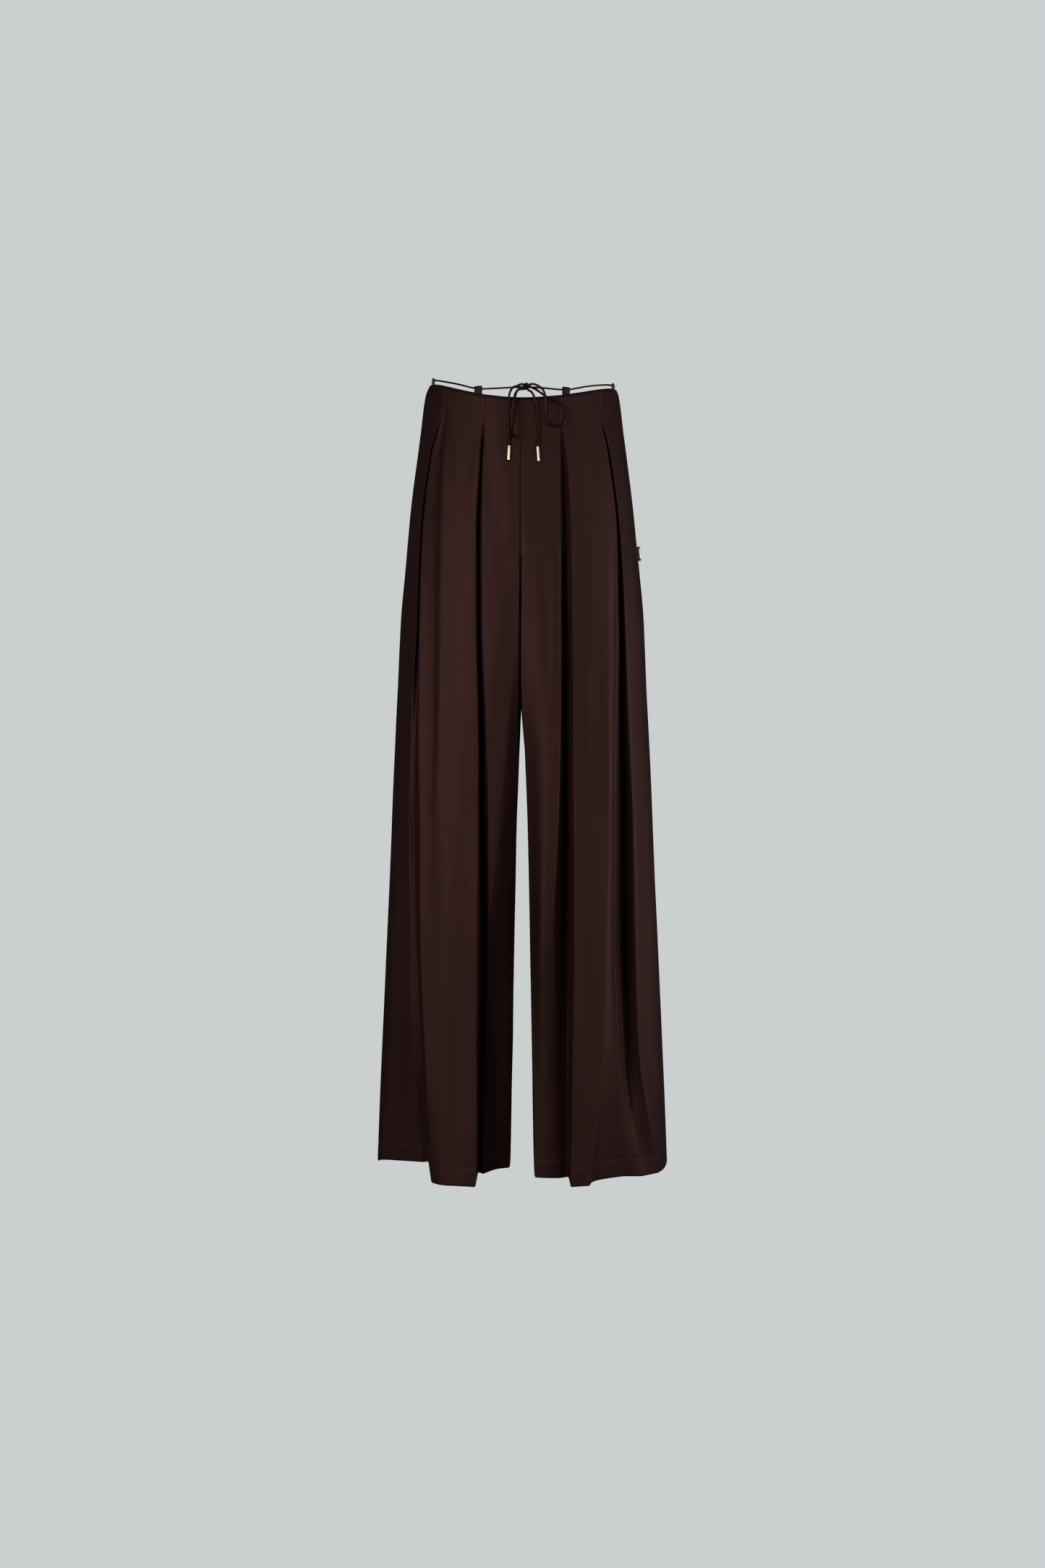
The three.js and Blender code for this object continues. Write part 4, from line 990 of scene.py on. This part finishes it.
def belt_loop(name, degrees, is_left, is_front):
    """A strip carried round the loop's outline, inside the waist edge."""
    edge, outward = waist_place(degrees, is_left, is_front)
    inward, up = -outward, Vector((0, 0, 1))
    along = inward.cross(up)
    centre = edge + inward * CORD_INSET
    half, soft = LOOP_WIDTH / 2 - 0.1, 0.3
    section = [(0.15, -half), (0, -half + soft), (0, 0), (0, half - soft), (0.15, half),
               (LOOP_STRIP - 0.15, half), (LOOP_STRIP, half - soft), (LOOP_STRIP, 0),
               (LOOP_STRIP, -half + soft), (LOOP_STRIP - 0.15, -half)]
    verts = []
    outline = loop_outline()
    for (x, z), way in outline:
        bulge = 0.12 * math.sin(z * 0.9 + degrees)
        for depth, sideways in section:
            place = centre + inward * (x - way[0] * depth) + up * (z - way[1] * depth)
            verts.append(place + along * (sideways + bulge))
    faces = ring_faces(len(outline), len(section), flip=True, wrap=True, caps=0)
    return mesh_piece(name + "_strip", verts, faces, satin_face)


for name, degrees, is_left, is_front in zip(*LOOPS.values()):
    state_piece(belt_loop(name, degrees, is_left, is_front), name)
print("belt loops:", len(LOOPS["name"]))

# %% [markdown]
# ## The cord round the waist and the knot
# The cord is pulled through all six loops and sags a little between them. The bow's knot is a short
# tight winding of the same cord. A knotted curve that closes on itself looks the same from outside
# as the real one, and it has no ends that could stick out.

# %% Waist cord and knot
WAIST_CORD = columns("degrees is_front above", [
    (23.2, True, 8.8), (29.2, True, 7.8), (40, True, 8.6), (55, True, 7.6), (70, True, 6.8),
    (83.5, True, 7.2), (89.5, True, 7.2), (72, False, 7.4), (54, False, 7.8), (24.5, False, 7.4),
    (18.5, False, 7.4), (10, False, 7.6),
])


def waist_half(is_left):
    """The cord's places on one half of the waist, from the front to the back."""
    places = []
    for degrees, is_front, above in zip(*WAIST_CORD.values()):
        edge, outward = waist_place(degrees, is_left, is_front)
        places.append(edge - outward * CORD_INSET + Vector((0, 0, above)))
    return places


waist_route = [Vector((3, -94.8, -20.1)), Vector((-14, -90.6, -20))]
waist_route += waist_half(True) + waist_half(False)[::-1]
waist_route += [Vector((26, -90.6, -20.6)), Vector((9.4, -94.8, -20.7))]
waist_places = smooth_route(waist_route, 320)
cords["waist"] = cord_curve("waist_cord", waist_places, TAUT_CORD_DIAMETER)
state_piece(cords["waist"], "drawstring_waist")

KNOT_MAJOR = 2.3
KNOT_MINOR = 1.15
KNOT_STEPS = 72
knot_points = []
for k in range(KNOT_STEPS):
    t = k / KNOT_STEPS * math.tau
    ring = KNOT_MAJOR + KNOT_MINOR * math.cos(3 * t)
    knot_points.append(Vector((KNOT_CENTRE[0] + ring * math.cos(2 * t) * 1.12,
                               KNOT_CENTRE[1] + KNOT_MINOR * 1.35 * math.sin(3 * t),
                               KNOT_CENTRE[2] + ring * math.sin(2 * t))))
knot = cord_curve("drawstring_knot_wraps", knot_points, 2.8)
knot.data.splines[0].use_cyclic_u = True
state_piece(knot, "drawstring_knot")
print("cord in the knot in mm:", round(route_length(knot_points)))

# %% [markdown]
# ## Metal tips and the side link
# The tips are small plain tubes crimped on the ends of the tails, with softly rounded ends. The link
# on the right side seam is a plain rounded bar. Both are turned or pressed shapes, so rings of
# points make them exactly.

# %% Tips and side link
TIP_PROFILE = [(1.6, 0), (1.9, -0.15), (2.05, -0.4), (2.1, -0.9), (2.1, -5), (2.1, -10), (2.1, -15),
               (2.1, -18.9), (2.04, -19.3), (1.85, -19.6), (1.5, -19.75)]
TIP_SIDES = 32
TIP_PITCH = -0.05


def ferrule(name, route, lean):
    """A turned tip that hangs from the end of a tail."""
    end = Vector(route[-1]) + Vector((0, 0, -0.6))
    verts = []
    for radius, z in TIP_PROFILE:
        for k in range(TIP_SIDES):
            angle = k / TIP_SIDES * math.tau
            x, y = radius * math.cos(angle), radius * math.sin(angle)
            across = x * math.cos(lean) + z * math.sin(lean)
            down = z * math.cos(lean) - x * math.sin(lean)
            verts.append(end + Vector((across,
                                       y * math.cos(TIP_PITCH) - down * math.sin(TIP_PITCH),
                                       y * math.sin(TIP_PITCH) + down * math.cos(TIP_PITCH))))
    faces = ring_faces(len(TIP_PROFILE), TIP_SIDES, flip=True)
    return mesh_piece(name + "_ferrule", verts, faces, gold)


tips = {}
for name, route, lean in (("tip_left", LEFT_TAIL_ROUTE, 0.055), ("tip_right", RIGHT_TAIL_ROUTE, -0.062)):
    tips[name] = ferrule(name, route, lean)
    state_piece(tips[name], name)

ORNAMENT_HEIGHT = 20
ORNAMENT_WIDTH = 9
ORNAMENT_THICKNESS = 4.2
ORNAMENT_DROP = 225.5
EDGE_ROUND = 1.4
CORNER_POINTS = 9


def rounded_bar(half_width, half_height, radius):
    """An upright rectangle with rounded corners, as points round it."""
    outline = []
    for right, up, start in ((1, -1, -90), (1, 1, 0), (-1, 1, 90), (-1, -1, 180)):
        for k in range(CORNER_POINTS):
            angle = math.radians(start + 90 * k / (CORNER_POINTS - 1))
            outline.append((right * (half_width - radius) + math.cos(angle) * radius,
                            up * (half_height - radius) + math.sin(angle) * radius))
    return outline


def side_link():
    """A rounded bar with softened edges, seated on the side seam."""
    top = half_width_at(ORNAMENT_DROP - ORNAMENT_HEIGHT / 2)
    bottom = half_width_at(ORNAMENT_DROP + ORNAMENT_HEIGHT / 2)
    lean = math.atan2(bottom - top, ORNAMENT_HEIGHT)
    outward = Vector((math.cos(lean), 0, math.sin(lean)))
    up = Vector((-math.sin(lean), 0, math.cos(lean)))
    side = up.cross(outward)
    seat = Vector((half_width_at(ORNAMENT_DROP), 0, -ORNAMENT_DROP)) + outward * 0.4
    levels = []
    for k in range(6):
        angle = k / 5 * math.pi / 2
        levels.append((EDGE_ROUND * (1 - math.sin(angle)), EDGE_ROUND * (1 - math.cos(angle))))
    levels += [(inset, ORNAMENT_THICKNESS - height) for inset, height in reversed(levels)]
    verts = []
    for inset, height in levels:
        half = ORNAMENT_WIDTH / 2 - inset
        outline = rounded_bar(half, ORNAMENT_HEIGHT / 2 - inset, half - 0.05)
        verts += [seat + side * x + up * z + outward * height for x, z in outline]
    faces = ring_faces(len(levels), len(verts) // len(levels))
    return mesh_piece("side_link", verts, faces, gold)


link = side_link()
state_piece(link, "side_ornament")
print("metal pieces:", len(tips) + 1)

# %% [markdown]
# ## Floor and light
# The garment floats over a plain pale floor that curves up into a round wall, so it has the same
# quiet ground from every side. One tall softbox at the front left is the key. A weaker one at the
# front right keeps that side readable, a third, low on the right, picks out the side folds, and a
# soft one behind lights the back. The sweep is lit evenly by itself and throws no light or shadow.

# %% Floor, softboxes and the room
PALE = "#cbcfd0"


def pale_paper():
    """Seamless background paper, lit from behind so that it is even all over."""
    material, tree, output = new_material("seamless paper")
    surface = add_node(tree, "ShaderNodeEmission", {"Color": linear(PALE), "Strength": 1.0})
    tree.links.new(surface.outputs["Emission"], output.inputs["Surface"])
    return material


FLOOR_DROP = 1750
SWEEP_RADIUS = 700
WALL_REACH = 3600
WALL_HEIGHT = 2600
SWEEP_SIDES = 64
SWEEP_STEPS = 24
sweep_line = [(10, -FLOOR_DROP)]
for k in range(SWEEP_STEPS + 1):
    angle = k / SWEEP_STEPS * math.pi / 2
    sweep_line.append((WALL_REACH - SWEEP_RADIUS + SWEEP_RADIUS * math.sin(angle),
                       -FLOOR_DROP + SWEEP_RADIUS * (1 - math.cos(angle))))
sweep_line.append((WALL_REACH, WALL_HEIGHT))
sweep_verts = []
for reach, z in sweep_line:
    for k in range(SWEEP_SIDES):
        angle = k / SWEEP_SIDES * math.tau
        sweep_verts.append((reach * math.cos(angle), reach * math.sin(angle), z))
sweep_faces = ring_faces(len(sweep_line), SWEEP_SIDES, flip=True, caps=1)
sweep = mesh_piece("pale_sweep", sweep_verts, sweep_faces, pale_paper())
sweep.visible_diffuse = False
sweep.visible_glossy = False
sweep.visible_shadow = False


def softbox(name, place, aim, width, height, watts):
    """A large rectangular area light that points at a place; distances in metres."""
    data = bpy.data.lights.new(name, "AREA")
    data.shape = "RECTANGLE"
    data.size = width
    data.size_y = height
    data.energy = watts
    lamp = bpy.data.objects.new(name, data)
    bpy.context.scene.collection.objects.link(lamp)
    lamp.location = place
    lamp.rotation_euler = (Vector(aim) - Vector(place)).to_track_quat("-Z", "Y").to_euler()
    return lamp


AIM = (0, 0, -0.5)
ROOM_STRENGTH = 0.04
lamps = [
    softbox("key", (-1.3, -2.3, 0.0), AIM, 1.3, 2.0, 40),
    softbox("fill", (1.6, -2.1, 0.1), AIM, 1.2, 2.0, 16),
    softbox("side", (2.7, -0.5, -0.4), (0, 0, -0.65), 0.8, 1.2, 27),
    softbox("back", (0, 2.7, 0.4), AIM, 1.0, 1.6, 16),
]
world = bpy.data.worlds.new("pale room")
bpy.context.scene.world = world
world.use_nodes = True
room = world.node_tree.nodes["Background"]
room.inputs["Color"].default_value = linear(PALE)
room.inputs["Strength"].default_value = ROOM_STRENGTH
print("lights:", [lamp.name for lamp in lamps])

# %% [markdown]
# ## Flat sizes of the panels
# A table lists each panel's flat width, length and area in metres, which nothing below reads. The
# loop prints the widest row, the longest column and the area worked out from each panel's mesh. Side
# seams, rise and inner leg are sewn, so every panel hangs from the waist as a sheet.

# %% Flat sizes of the panels
SHEETS = columns("panel width length area", [
    ("front_left", 0.395, 1.07, 0.356), ("front_right", 0.44, 1.07, 0.388),
    ("back_left", 0.345, 1.07, 0.307), ("back_right", 0.345, 1.07, 0.307),
])

for name, width, length, area in zip(*SHEETS.values()):
    panel = panels[name]
    print(name, "widest row and longest column in mm:", round(panel["flat_width"]),
          round(panel["flat_length"]), "area in square metres:", round(panel["flat_area"] / 1e6, 3))
